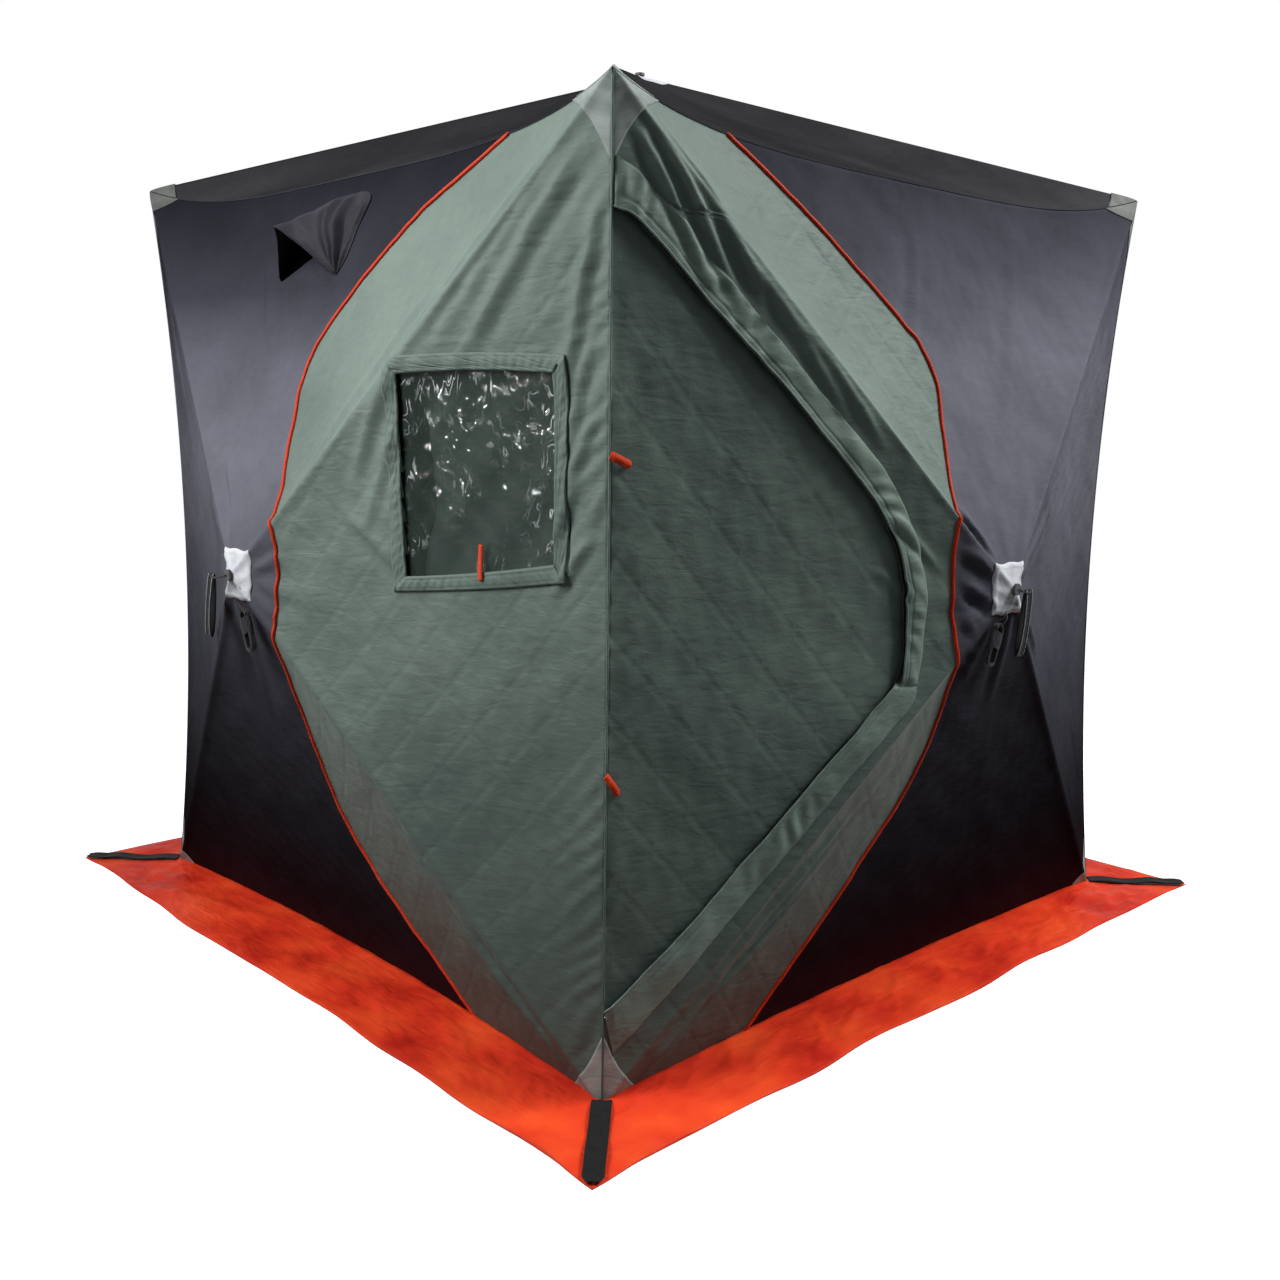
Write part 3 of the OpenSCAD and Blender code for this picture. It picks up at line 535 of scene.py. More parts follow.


# ---------------------------------------------------------------- the stretched cloth
# Puckers and pull lines listed for each wall. Each is a ridge between two points
# (x, z) of the wall: height and half width in metres.
FOLDS = {
    "door": [
        (-0.845, 1.715, -0.700, 1.470, 0.010, 0.012), (-0.815, 1.735, -0.640, 1.440, 0.012, 0.013),
        (-0.780, 1.735, -0.610, 1.465, 0.009, 0.011), (-0.740, 1.700, -0.580, 1.420, 0.007, 0.010),
        (-0.640, 1.530, -0.400, 1.250, 0.007, 0.012), (-0.520, 1.420, -0.330, 1.200, 0.006, 0.011),
        (-0.700, 0.150, -0.300, 0.520, 0.009, 0.012), (-0.760, 0.075, -0.380, 0.400, 0.010, 0.013),
        (-0.800, 0.035, -0.520, 0.240, 0.008, 0.012), (-0.720, 0.080, -0.440, 0.330, -0.007, 0.010),
        (-0.330, 0.960, -0.230, 0.900, 0.004, 0.010), (-0.300, 1.060, -0.180, 0.960, 0.005, 0.010),
        (-0.135, 1.090, -0.040, 0.985, 0.010, 0.012), (-0.130, 1.060, -0.045, 0.965, -0.009, 0.010),
        (-0.130, 0.990, -0.045, 0.945, 0.007, 0.012), (-0.130, 0.930, -0.040, 0.880, 0.007, 0.010),
        (-0.125, 0.900, -0.045, 0.850, -0.007, 0.009), (-0.125, 0.860, -0.070, 0.800, 0.006, 0.010),
        (-0.120, 0.800, -0.060, 0.770, 0.006, 0.010), (-0.120, 0.770, -0.060, 0.735, 0.005, 0.009),
        (0.050, 0.960, 0.160, 1.130, 0.009, 0.013), (0.060, 0.930, 0.330, 1.060, 0.006, 0.014),
        (0.055, 0.880, 0.260, 0.740, 0.007, 0.014), (0.020, 0.860, 0.070, 0.640, 0.006, 0.014),
        (0.760, 1.680, 0.600, 1.480, 0.007, 0.016), (0.800, 1.600, 0.720, 1.300, 0.006, 0.014),
        (0.820, 0.320, 0.700, 0.520, 0.006, 0.014), (0.790, 0.110, 0.600, 0.330, 0.007, 0.014),
        (-0.030, 1.690, -0.140, 1.400, 0.005, 0.016), (0.350, 1.700, 0.120, 1.220, 0.005, 0.020)],
    "window": [
        (-0.840, 1.690, -0.560, 1.330, 0.007, 0.016), (-0.800, 1.720, -0.470, 1.350, -0.005, 0.014),
        (-0.720, 1.680, -0.450, 1.430, 0.006, 0.012), (-0.865, 1.580, -0.790, 1.280, 0.008, 0.013),
        (-0.850, 1.380, -0.800, 1.180, 0.006, 0.010), (-0.860, 1.250, -0.790, 1.080, 0.006, 0.010),
        (-0.840, 1.150, -0.770, 1.020, 0.005, 0.009), (-0.860, 1.040, -0.770, 0.930, 0.006, 0.010),
        (-0.430, 1.330, -0.320, 1.120, 0.006, 0.013), (-0.440, 1.230, -0.340, 1.020, 0.005, 0.012),
        (-0.420, 0.950, -0.300, 1.060, 0.005, 0.014), (-0.620, 0.200, -0.300, 0.640, 0.008, 0.014),
        (-0.720, 0.090, -0.360, 0.470, 0.008, 0.014), (-0.790, 0.060, -0.540, 0.300, -0.006, 0.012),
        (-0.450, 1.500, -0.260, 1.240, 0.006, 0.014), (-0.320, 1.350, -0.160, 1.110, 0.005, 0.012),
        (0.040, 0.990, 0.160, 1.160, 0.009, 0.013), (0.060, 0.960, 0.320, 1.100, 0.006, 0.014),
        (0.050, 0.860, 0.270, 0.720, 0.008, 0.014), (0.010, 0.850, 0.060, 0.600, 0.007, 0.014),
        (-0.060, 0.930, -0.140, 0.960, 0.005, 0.010), (-0.060, 0.880, -0.130, 0.820, 0.005, 0.010),
        (0.100, 1.690, -0.080, 1.500, 0.007, 0.010), (0.260, 1.640, 0.150, 1.420, 0.006, 0.014),
        (0.760, 1.680, 0.560, 1.440, 0.008, 0.016), (0.820, 1.560, 0.700, 1.280, 0.006, 0.014),
        (0.800, 0.120, 0.580, 0.360, 0.007, 0.014), (0.840, 0.380, 0.720, 0.560, 0.006, 0.014)],
}
FOLDS["right"] = [f for f in FOLDS["door"] if f[0] > 0] + [
    (-f[0], f[1], -f[2], f[3], f[4], f[5]) for f in FOLDS["door"] if f[0] > 0]
FOLDS["back"] = [f for f in FOLDS["window"] if f[0] > 0] + [
    (-f[0], f[1], -f[2], f[3], f[4], f[5]) for f in FOLDS["window"] if f[0] > 0]


def fold_height(wall, x, z):
    """The sum of the wall's ridges: each is a bell across its line, with a shallow trough beside
    it, and fades towards both ends of the line."""
    total = np.zeros_like(x)
    for x1, z1, x2, z2, high, wide in FOLDS[wall]:
        length = math.hypot(x2 - x1, z2 - z1)
        run = ((x - x1) * (x2 - x1) + (z - z1) * (z2 - z1)) / length
        side = ((x - x1) * (z2 - z1) - (z - z1) * (x2 - x1)) / length
        side = side + 0.25 * wide * np.sin(run / length * 5)
        t = np.clip(run / length, -0.2, 1.2)
        taper = smooth((t + 0.12) / 0.35) * smooth((1.12 - t) / 0.5)
        total += high * taper * (np.exp(-(side / wide) ** 2)
                                 - 0.45 * np.exp(-((side - 1.7 * wide) / wide) ** 2))
    return total


def seam_puckers(wall, x, z):
    """Short wrinkles beside the near corner's seam: they slant away from it and fade within a
    hand's width, and come and go up the wall."""
    s = x + HALF
    slant = 0.75 if wall == "door" else -0.95
    phase = ripple(s * 0.4, z, 11 if wall == "door" else 12, 0.5, 0.16, 5)
    wave = np.sin(2 * np.pi * (z - slant * s) / 0.052 + 2.4 * phase)
    strong = smooth(0.5 + 0.8 * ripple(s * 0, z, 13 if wall == "door" else 14, 0.9, 0.2, 5))
    return 0.0030 * np.exp(-s / 0.055) * strong * wave


def hub_pulls(wall, x, z):
    """Pull lines that run in to the hub, deepest a hand's width away from it."""
    dx, dz = x, z - HUB_Z
    away = np.hypot(dx, dz)
    angle = np.arctan2(dz, dx)
    rng = np.random.default_rng({"door": 5, "window": 6, "right": 7, "back": 8}[wall])
    total = 0
    for count in (7, 11, 17):
        total = total + np.sin(count * angle + rng.uniform(0, 6.28))
    return 0.0016 * total * smooth((away - 0.05) / 0.05) * np.exp(-away / 0.20)


def towards_hub(side, rise):
    """Of four planes that rise to a hub, from a point's shares of the way along two of them: the
    lower share, the planes' softly joined height, and a print that is 1 over a pole and 0 beside
    it."""
    low, high = np.minimum(side, rise), np.maximum(np.maximum(side, rise), 1e-6)
    ratio = np.clip(low / high, 0, 1)
    peak = np.clip(low, 0, None) * (1 + ratio ** CREASE_SHARPNESS) ** (-1 / CREASE_SHARPNESS)
    return low, peak, np.exp(-((side - rise) * HALF / POLE_WIDE) ** 2)


def cloth(wall, x, z):
    """A point of a wall's outer face, in the door wall's frame, from x along the wall and height z
    as if the cloth were flat between its poles. Four planes rise to the hub, softly joined over
    the poles. A panel then moves by its outer edge's own bow, in proportion to the distance from
    the hub, and its middle draws in, with the folds on top."""
    x, z = np.broadcast_arrays(np.asarray(x, float), np.asarray(z, float))
    left, right = (CORNER_BOW[c] for c in WALL_ENDS[wall])
    side = 1 - np.abs(x) / HALF
    rise = np.where(z > HUB_Z, (CORNER_H - z) / (CORNER_H - HUB_Z), z / HUB_Z)
    low, peak, over_pole = towards_hub(side, rise)
    share = 1 - np.clip(low, 0, 1)
    safe = np.maximum(share, 0.02)
    upright = np.clip((HUB_Z + (z - HUB_Z) / safe) / CORNER_H, 0, 1)
    bow = 4 * upright * (1 - upright)
    level = np.clip(x / safe / HALF, -1, 1)
    arch = 1 - level ** np.where(z > HUB_Z, 4, 2)
    on_side = side < rise
    dip = PANEL_DIP * 4 * share * (1 - share) * np.where(on_side, bow, arch)
    corner = np.where(x < 0, left, right)
    px = x - np.where(on_side, np.sign(x) * bow * share * corner, 0)
    inward = np.where(on_side, bow * corner, np.where(z > HUB_Z, arch * EAVE_IN,
                                                      arch * BASE_BOW[wall])) * share + dip
    pz = z - np.where(on_side | (z < HUB_Z), 0, arch * share * EAVE_SAG)
    edge = np.minimum(HALF - np.abs(x), np.minimum(z, CORNER_H - z))
    settle = np.tanh(np.clip(edge, 0, None) / SEAM_SETTLE)
    ruffle = fold_height(wall, x, z) + hub_pulls(wall, x, z)
    ruffle = ruffle + 0.0022 * ripple(x, z, 21, 0.55, 0.11) + 0.0008 * ripple(x, z, 22, 0.12, 0.04)
    if wall in ("door", "window"):
        ruffle = ruffle + seam_puckers(wall, x, z)
    ruffle = ruffle * (1 - over_pole) + POLE_PRINT * over_pole
    py = -HALF - HUB_BULGE * peak + inward - settle * ruffle
    return np.stack([px, py, pz], -1)


def on_cloth(wall, x, z, height=0.0):
    """Cloth points lifted off the face along its own normal, in the frame."""
    point = cloth(wall, x, z)
    if np.any(height):
        step = 0.004
        along = cloth(wall, np.asarray(x) + step, z) - cloth(wall, np.asarray(x) - step, z)
        up = cloth(wall, x, np.asarray(z) + step) - cloth(wall, x, np.asarray(z) - step)
        normal = np.cross(along, up)
        normal /= np.linalg.norm(normal, axis=-1, keepdims=True)
        point = point + normal * np.asarray(height)[..., None]
    return turned(point, wall)


def roof_cloth(x, y):
    """A point of the roof: four planes rise to the hub, and the eaves are the walls' own."""
    side, rise = 1 - np.abs(x) / HALF, 1 - np.abs(y) / HALF
    low, peak, over_pole = towards_hub(side, rise)
    share = 1 - low
    safe = np.maximum(share, 0.02)
    on_x = side < rise
    level = np.clip(np.where(on_x, y, x) / safe / HALF, -1, 1)
    arch = 1 - level**4
    pull = arch * share * EAVE_IN
    px = x - np.where(on_x, np.sign(x) * pull, 0)
    py = y - np.where(on_x, 0, np.sign(y) * pull)
    sag = arch * share * EAVE_SAG + 0.012 * arch * 4 * share * (1 - share)
    settle = np.tanh(np.clip(HALF * low, 0, None) / SEAM_SETTLE)
    ruffle = 0.003 * ripple(x, y, 31, 0.5, 0.1) * (1 - over_pole) + POLE_PRINT * over_pole
    return np.stack([px, py, CORNER_H + ROOF_RISE * peak - sag + settle * ruffle], -1)


# ---------------------------------------------------------------- outlines on the walls
def near_x(s):
    """x on a near panel at a distance s along it from the near corner."""
    return -HALF + np.asarray(s, float) * ALONG_PANEL


NEAR_OUT = (-0.27, -0.96, 0.02)       # off the door wall's near panel, towards a viewer

# The line where the grey-green cloth meets the charcoal, from the eaves to the base (x, z)
PIPING_LINE = {
    "door": [(-0.58, 1.80), (-0.37, 1.67), (-0.11, 1.43), (-0.10, 1.25), (-0.15, 1.05),
             (-0.15, 0.90), (-0.13, 0.55), (-0.28, 0.29), (-0.50, 0.00)],
    "window": [(-0.57, 1.80), (-0.29, 1.66), (-0.07, 1.43), (-0.06, 1.22), (-0.12, 1.00),
               (-0.12, 0.85), (-0.10, 0.56), (-0.16, 0.32), (-0.47, 0.00)]}
# The door's free edge, from its upper end to its lower end: s along the panel, and z
DOOR_EDGE = [(0.004, 1.596), (0.060, 1.568), (0.205, 1.440), (0.333, 1.330), (0.434, 1.236),
             (0.540, 1.136), (0.604, 1.060), (0.647, 0.975), (0.664, 0.870), (0.664, 0.780),
             (0.625, 0.712), (0.515, 0.615), (0.397, 0.505), (0.247, 0.362), (0.088, 0.226),
             (0.004, 0.160)]


def piping_points(wall, n):
    """The piping's line, rounded at its bends."""
    return curve_through(PIPING_LINE[wall], n)


def piping_x(wall, z):
    """x of the piping's line at a height."""
    line = piping_points(wall, 300)[::-1]
    return np.interp(z, line[:, 1], line[:, 0])


def door_x(z, side=0.0):
    """x of the door's free edge at a height, moved outwards by side metres; the near corner's
    own x where there is no door."""
    line = curve_through(DOOR_EDGE, 400)[::-1]
    s = np.interp(z, line[:, 1], line[:, 0], left=0, right=0)
    lap = side * smooth(s / 0.05) - 0.004 * (1 - smooth(s / 0.05)) * (side > 0)
    return near_x(np.where(s > 0, np.maximum(s + lap, 0), 0))


DOOR_LOW, DOOR_HIGH = DOOR_EDGE[-1][1], DOOR_EDGE[0][1]


def wall_sheet(name, wall, left, right, material, slot, replaces, cell=0.009, low=0.0,
               high=CORNER_H):
    """A sheet of a wall's cloth between two lines, each a function of height: rows are level and
    the columns are spread evenly between the lines."""
    rows = max(int(round((high - low) / cell)), 2) + 1
    z = np.linspace(low, high, rows)
    x1, x2 = left(z), right(z)
    cols = max(int(round(float(np.max(x2 - x1)) / cell)), 2) + 1
    share = np.linspace(0, 1, cols)[None]
    x = x1[:, None] + (x2 - x1)[:, None] * share
    zz = np.repeat(z[:, None], cols, 1)
    points = on_cloth(wall, x, zz)
    uv = np.stack([x / ALONG_PANEL, zz], -1)
    obj = surface(name, points, material, "shelter", WALL_MIRRORED[wall], uv, replaces,
                  x * (zz - HUB_Z))
    return obj, points


def near_corner(z):
    return np.full_like(z, -HALF)


def far_corner(z):
    return np.full_like(z, HALF)


# ---------------------------------------------------------------- camera
def standing(place, right, up, back):
    """The matrix of a camera or a lamp at a place, from its own three directions."""
    matrix = np.eye(4)
    matrix[:3, 0], matrix[:3, 1], matrix[:3, 2], matrix[:3, 3] = right, up, back, place
    return Matrix(matrix.tolist())


def look():
    """The camera at the viewing place: a yaw from +X, a pitch and a small roll."""
    yaw, pitch, roll = (math.radians(a) for a in (46.659, -9.658, 0.835))
    ahead = np.array([math.cos(pitch) * math.cos(yaw), math.cos(pitch) * math.sin(yaw),
                      math.sin(pitch)])
    level = np.cross(ahead, [0, 0, 1])
    level /= np.linalg.norm(level)
    above = np.cross(level, ahead)
    right = level * math.cos(roll) + above * math.sin(roll)
    up = -level * math.sin(roll) + above * math.cos(roll)
    data = bpy.data.cameras.new("camera")
    data.sensor_width, data.lens = 36.0, 36.98
    data.clip_start, data.clip_end = 0.05, 60
    cam = bpy.data.objects.new("camera", data)
    bpy.context.scene.collection.objects.link(cam)
    cam.matrix_world = standing((-2.3845, -2.5573, 1.2485), right, up, -ahead)
    bpy.context.scene.camera = cam


look()

# ---------------------------------------------------------------- cords at the hubs
CORD_R = 0.0015
HANK_TOP_X, HANK_TOP_Z = -0.047, 0.846
HANK_W, HANK_L, HANK_TILT = 0.030, 0.092, math.radians(22)
HANK_Y = -HALF - HUB_BULGE + 0.005


def hung(x, y, z):
    """Points of the hank tilted about its top and moved to its place on the door wall."""
    c, s = math.cos(HANK_TILT), math.sin(HANK_TILT)
    px, pz = x * c + z * s, -x * s + z * c
    return np.stack([HANK_TOP_X + px, HANK_Y + y, HANK_TOP_Z - HANK_W / 2 + pz], -1)


def hank_route():
    """The guy cord's line in the door wall's frame. It comes down from the tab, then winds as
    race tracks, each half circles joined by straight runs, four side by side and then four more
    inside them, and its end is tucked under the tie."""
    lanes = (np.arange(4) - 1.5) * 2 * CORD_R
    outer, inner = HANK_W / 2 - CORD_R, HANK_W / 2 - 3 * CORD_R
    straight = HANK_L - HANK_W
    turns = [(outer, lane) for lane in lanes] + [(inner, lane) for lane in lanes[::-1]]
    parts = []
    half = np.linspace(0, np.pi, 13)
    for k, (r, lane) in enumerate(turns):
        drift = turns[k + 1][1] - lane if k + 1 < len(turns) and turns[k + 1][0] == r else 0
        grow = turns[k + 1][0] - r if k + 1 < len(turns) else 0
        top = np.stack([-r * np.cos(half), lane + 0 * half, r * np.sin(half)], -1)
        down = np.stack([np.full(5, r), np.full(5, lane),
                         np.linspace(0, -straight, 7)[1:-1]], -1)
        low = np.stack([r * np.cos(half), lane + 0 * half, -straight - r * np.sin(half)], -1)
        t = np.linspace(0, 1, 9)[1:-1]
        back = np.stack([-r - grow * smooth(t), lane + drift * smooth(t),
                         -straight * (1 - t)], -1)
        parts += [top, down, low, back]
    return hung(*np.vstack(parts).T)


def hank_tie(name, wall):
    """Close wraps of the same cord round the upper half of the hank."""
    turns = np.linspace(0, 11.6 * 2 * np.pi, 210)
    swell = 1 + 0.10 * np.sin(turns / 23)
    wide, deep = (HANK_W / 2 + 0.0012) * swell, (4 * CORD_R + 0.0015) * swell
    x, y = wide * np.cos(turns), deep * np.sin(turns)
    z = -0.004 - turns / (2 * np.pi) * 2.05 * CORD_R
    return tube(name, turned(hung(x, y, z), wall), CORD_R, BLACK_CORD, (0.1, 0.1, 1), 7)


def hank_hanger(name, wall):
    """The loop of cord that hangs the hank from the foot of the hub's patch."""
    patch_foot, bight = HUB_Z - 0.046, HANK_TOP_Z - 0.001
    line = [(0.020, -0.004, patch_foot), (0.012, -0.012, patch_foot - 0.010),
            (0.002, -0.010, bight - 0.001), (-0.002, 0.0, bight - 0.006), (0.006, 0.008, bight),
            (0.016, -0.002, patch_foot - 0.010), (0.026, -0.002, patch_foot)]
    path = curve_through(line, 60) + [HANK_TOP_X, HANK_Y, 0]
    facing = turned(np.array([0.1, -1, 0.1]), wall)
    return tube(name, turned(path, wall), CORD_R, BLACK_CORD, facing, 7)


def guy_hank(wall):
    """The folded guy cord of one hub."""
    node = {"door": "front", "window": "left"}.get(wall, wall) + "_guy_hank"
    path = turned(hank_route(), wall)
    facing = turned(np.array([0.05, -1.0, 0.02]), wall)
    cord = tube("guy_cord_" + wall, path, CORD_R, BLACK_CORD, facing, 7,
                replaces=(node,))
    tied = [hank_tie("guy_cord_tie_" + wall, wall), hank_hanger("guy_cord_hanger_" + wall, wall)]


for wall in WALL_TURN:
    guy_hank(wall)


# ---------------------------------------------------------------- walls and roof
def stretched_wall(*wall_and_edges):
    """A sheet of wall cloth between its poles, from wall_sheet's own values, and thickened."""
    obj, points = wall_sheet(*wall_and_edges)
    thicken(obj, CLOTH_T)


stretched_wall("door_wall_green_cloth", "door", lambda z: door_x(z, 0.004),
               lambda z: piping_x("door", z), GREEN, "green_cloth",
               ("door_surround_upper", "door_surround_nose", "door_surround_lower"), 0.0073)
stretched_wall("door_wall_charcoal_cloth", "door", lambda z: piping_x("door", z), far_corner,
               CHARCOAL, "charcoal_cloth",
               ("front_upper_panel", "front_far_panel", "front_lower_panel"), 0.0105)
stretched_wall("window_wall_charcoal_cloth", "window", lambda z: piping_x("window", z),
               far_corner, WINDOW_CHARCOAL, "charcoal_cloth",
               ("left_upper_panel", "left_rear_panel", "left_lower_panel"), 0.0105)

WINDOW_S, WINDOW_Z = (0.118, 0.466), (0.962, 1.320)   # the opening, before its lower edge slants
WINDOW_SLANT = 0.046                                  # how much lower its far bottom corner is
WINDOW_LAP = 0.014


def window_wall():
    """The green cloth of the window wall, cut away behind the window's sewn band."""
    obj, points = wall_sheet("window_wall_green_cloth", "window", near_corner,
                             lambda z: piping_x("window", z), GREEN, "green_cloth",
                             ("left_window_panel",), 0.0078)
    rows, cols = points.shape[:2]
    s = (points[..., 1] + HALF) / ALONG_PANEL
    z = points[..., 2]
    middle_s, middle_z = (a[:-1, :-1] * 0.5 + a[1:, 1:] * 0.5 for a in (s, z))
    low = WINDOW_Z[0] + WINDOW_SLANT * (0.5 - (middle_s - WINDOW_S[0]) / np.ptp(WINDOW_S))
    inside = ((middle_s > WINDOW_S[0] - WINDOW_LAP) & (middle_s < WINDOW_S[1] + WINDOW_LAP)
              & (middle_z > low - WINDOW_LAP) & (middle_z < WINDOW_Z[1] + WINDOW_LAP))
    keep = grid_faces(rows, cols, True)[~inside.ravel()]
    uv = np.stack([s, z], -1).reshape(-1, 2)
    used, index = np.unique(keep, return_inverse=True)
    whole = obj.data
    obj.data = filled_mesh("window_wall_green_cloth", points.reshape(-1, 3)[used],
                           index.reshape(keep.shape), GREEN, uv[used])
    bpy.data.meshes.remove(whole)
    thicken(obj, CLOTH_T)


window_wall()

for wall, node in (("right", "right_wall"), ("back", "back_wall")):
    stretched_wall(wall + "_wall_cloth", wall, near_corner, far_corner, CHARCOAL,
                   "charcoal_cloth", (node,), 0.017)


def roof():
    """The roof's cloth in one sheet."""
    n = 115
    x, y = np.meshgrid(np.linspace(-HALF, HALF, n), np.linspace(-HALF, HALF, n))
    points = roof_cloth(x, y)
    obj = surface("roof_cloth", points, SHADED_ROOF_CHARCOAL, "shelter", False, np.stack([x, y], -1),
                  ("roof",), x * y)
    thicken(obj, CLOTH_T)


roof()


PIPING_R = 0.0040


def piping(wall, node):
    """A corded piping that stands proud of the seam between the two colours."""
    line = piping_points(wall, 240)
    path = on_cloth(wall, line[:, 0], line[:, 1], 0.0015)
    path[:, 2] = np.maximum(path[:, 2], PIPING_R + 0.001)     # off the ice
    facing = turned(np.array([0.0, -1.0, 0.05]), wall)
    tube(wall + "_wall_piping", path, PIPING_R, PIPING, facing, 8,
         replaces=(node,))


piping("door", "front_piping")
piping("window", "left_piping")


# ---------------------------------------------------------------- the door
def door():
    """The door's cloth, from the sewn corner seam to its free edge, which curls in a little."""
    low, high, cell = DOOR_LOW + 0.004, DOOR_HIGH - 0.004, 0.0065
    rows = int((high - low) / cell) + 1
    z = np.linspace(low, high, rows)
    edge = door_x(z)
    cols = int(float(np.ptp(edge)) / cell) + 1
    share = np.linspace(0, 1, cols)[None]
    x = -HALF + 0.0015 + (edge + HALF - 0.0015)[:, None] * share
    zz = np.repeat(z[:, None], cols, 1)
    gap = (edge[:, None] - x)
    sunk = -0.0015 - 0.006 * np.exp(-gap / 0.03)
    points = on_cloth("door", x, zz, sunk)
    obj = surface("door_cloth", points, GREEN, None, False,
                  np.stack([(x + HALF) / ALONG_PANEL, zz], -1),
                  ("door_panel", "door_hinge_seam"))
    thicken(obj, CLOTH_T)
    return obj


BEND_FROM, BEND_TO = 0.020, 0.110     # where a bend of the door's cloth would start and end; not used for any bend


def bend_with_door(obj):
    """Bakes a piece's place into its points; the bend's two ends are worked out but not used."""
    start, end = (on_cloth("door", near_x(s), 0.9).tolist() for s in (BEND_FROM, BEND_TO))
    start[2] = end[2] = 0.9
    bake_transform(obj)


bend_with_door(door())


FLAP_T, FLAP_LOW = 0.0022, 0.0012     # the flap's thickness, and its least height off the wall


def flap_strip(name, seam, free, lift, ruck, seed, replaces=()):
    """A flap sewn down along one line and free along the other, both in s and z on the near
    panel. Across it the cloth humps up, and short slanted rucks come and go along it. Returns the
    free edge."""
    n, m = 260, 22
    outer, inner = curve_through(seam, n), curve_through(free, n)
    w = np.linspace(0, 1, m)[None, :]
    t = np.linspace(0, 1, n)[:, None]
    s = outer[:, :1] + (inner[:, :1] - outer[:, :1]) * w
    z = outer[:, 1:] + (inner[:, 1:] - outer[:, 1:]) * w
    run = t * np.linalg.norm(np.diff(inner, axis=0), axis=1).sum()
    swell = np.sin(np.pi * np.clip(w, 0, 1) ** 0.8)
    waves = ripple(run + 0.02 * w, w * 0.03, seed, 0.22, 0.035, 8)
    drift = 2.5 * ripple(run, w * 0, seed + 1, 0.4, 0.1, 5)
    slant = np.sin(2 * np.pi * (run + 0.045 * w) / 0.048 + drift)
    calm = smooth(0.5 + 0.9 * ripple(run, w * 0, seed + 2, 0.7, 0.2, 5))
    height = 0.0015 + lift * (0.35 * swell + 0.85 * w**1.5) + ruck * swell * (
        0.7 * waves + 0.5 * calm * slant)
    height = height - 0.0014 * np.exp(-((w - 0.76) / 0.035) ** 2)
    height = height * smooth(t / 0.03 + 0.3) * smooth((1 - t) / 0.03 + 0.3)
    height = np.maximum(height, FLAP_LOW)
    points = on_cloth("door", near_x(s), z, height)
    obj = surface(name, points, LIT_FLAP_GREEN, "shelter", True, np.stack([s, z], -1),
                  replaces)
    thicken(obj, FLAP_T, 0.0)
    return on_cloth("door", near_x(inner[:, 0]), inner[:, 1], height[:, -1])


# The storm flap's two strips along the door's edge, above the nose and below it: each one's sewn
# line and its free edge, as s along the near panel and z
UPPER_SEAM = [(0.006, 1.668), (0.053, 1.645), (0.120, 1.588), (0.203, 1.506), (0.290, 1.430),
              (0.417, 1.312), (0.514, 1.222), (0.600, 1.138), (0.672, 1.022), (0.703, 0.917),
              (0.700, 0.800), (0.688, 0.730)]
UPPER_FREE = [(0.004, 1.590), (0.060, 1.562), (0.205, 1.432), (0.333, 1.322), (0.434, 1.228),
              (0.538, 1.128), (0.600, 1.054), (0.642, 0.970), (0.658, 0.870), (0.656, 0.790),
              (0.652, 0.745), (0.648, 0.722)]
LOWER_SEAM = [(0.690, 0.735), (0.672, 0.690), (0.600, 0.622), (0.519, 0.546), (0.372, 0.406),
              (0.228, 0.276), (0.100, 0.158), (0.020, 0.092)]
LOWER_FREE = [(0.640, 0.735), (0.622, 0.722), (0.560, 0.664), (0.480, 0.590), (0.330, 0.452),
              (0.185, 0.322), (0.060, 0.220), (0.001, 0.176)]
upper_edge = flap_strip("storm_flap_upper", UPPER_SEAM, UPPER_FREE, 0.011, 0.0052, 41,
                        ("door_storm_flap",))
lower_edge = flap_strip("storm_flap_lower", LOWER_SEAM, LOWER_FREE, 0.009, 0.0042, 51)
for name, edge in (("storm_flap_upper_hem", upper_edge), ("storm_flap_lower_hem", lower_edge)):
    tube(name, edge, 0.0026, LIT_FLAP_GREEN, NEAR_OUT, 8, flat=0.8)
for name, seam in (("storm_flap_upper_seam", UPPER_SEAM), ("storm_flap_lower_seam", LOWER_SEAM)):
    stitches = curve_through(seam, 220)
    ridge = on_cloth("door", near_x(stitches[:, 0]), stitches[:, 1], FLAP_LOW)
    tube(name, ridge, 0.0016, GREEN, NEAR_OUT, 6)


def zip_track():
    """The zip along the door's free edge: a flat tape with a row of coil teeth."""
    line = curve_through(DOOR_EDGE[1:-1], 420)
    inward = np.array([-0.011, 0.0])
    a, b = line, line + inward
    w = np.linspace(0, 1, 4)[None, :, None]
    grid = a[:, None] + (b - a)[:, None] * w
    points = on_cloth("door", near_x(grid[..., 0]), grid[..., 1], np.full(grid.shape[:2], -0.001))
    tape = surface("door_zip_tape", points, ZIP, None, True,
                   replaces=("door_zip",))
    thicken(tape, 0.001)
    turns = np.arange(420)
    side = np.where(turns % 2 == 0, 0.0016, -0.0016)
    path = on_cloth("door", near_x(line[:, 0] - 0.003 + side), line[:, 1], 0.0012)
    teeth = tube("door_zip_coil", path, 0.0013, ZIP, NEAR_OUT, 6, body=None)
    for piece in (tape, teeth):
        bend_with_door(piece)


zip_track()


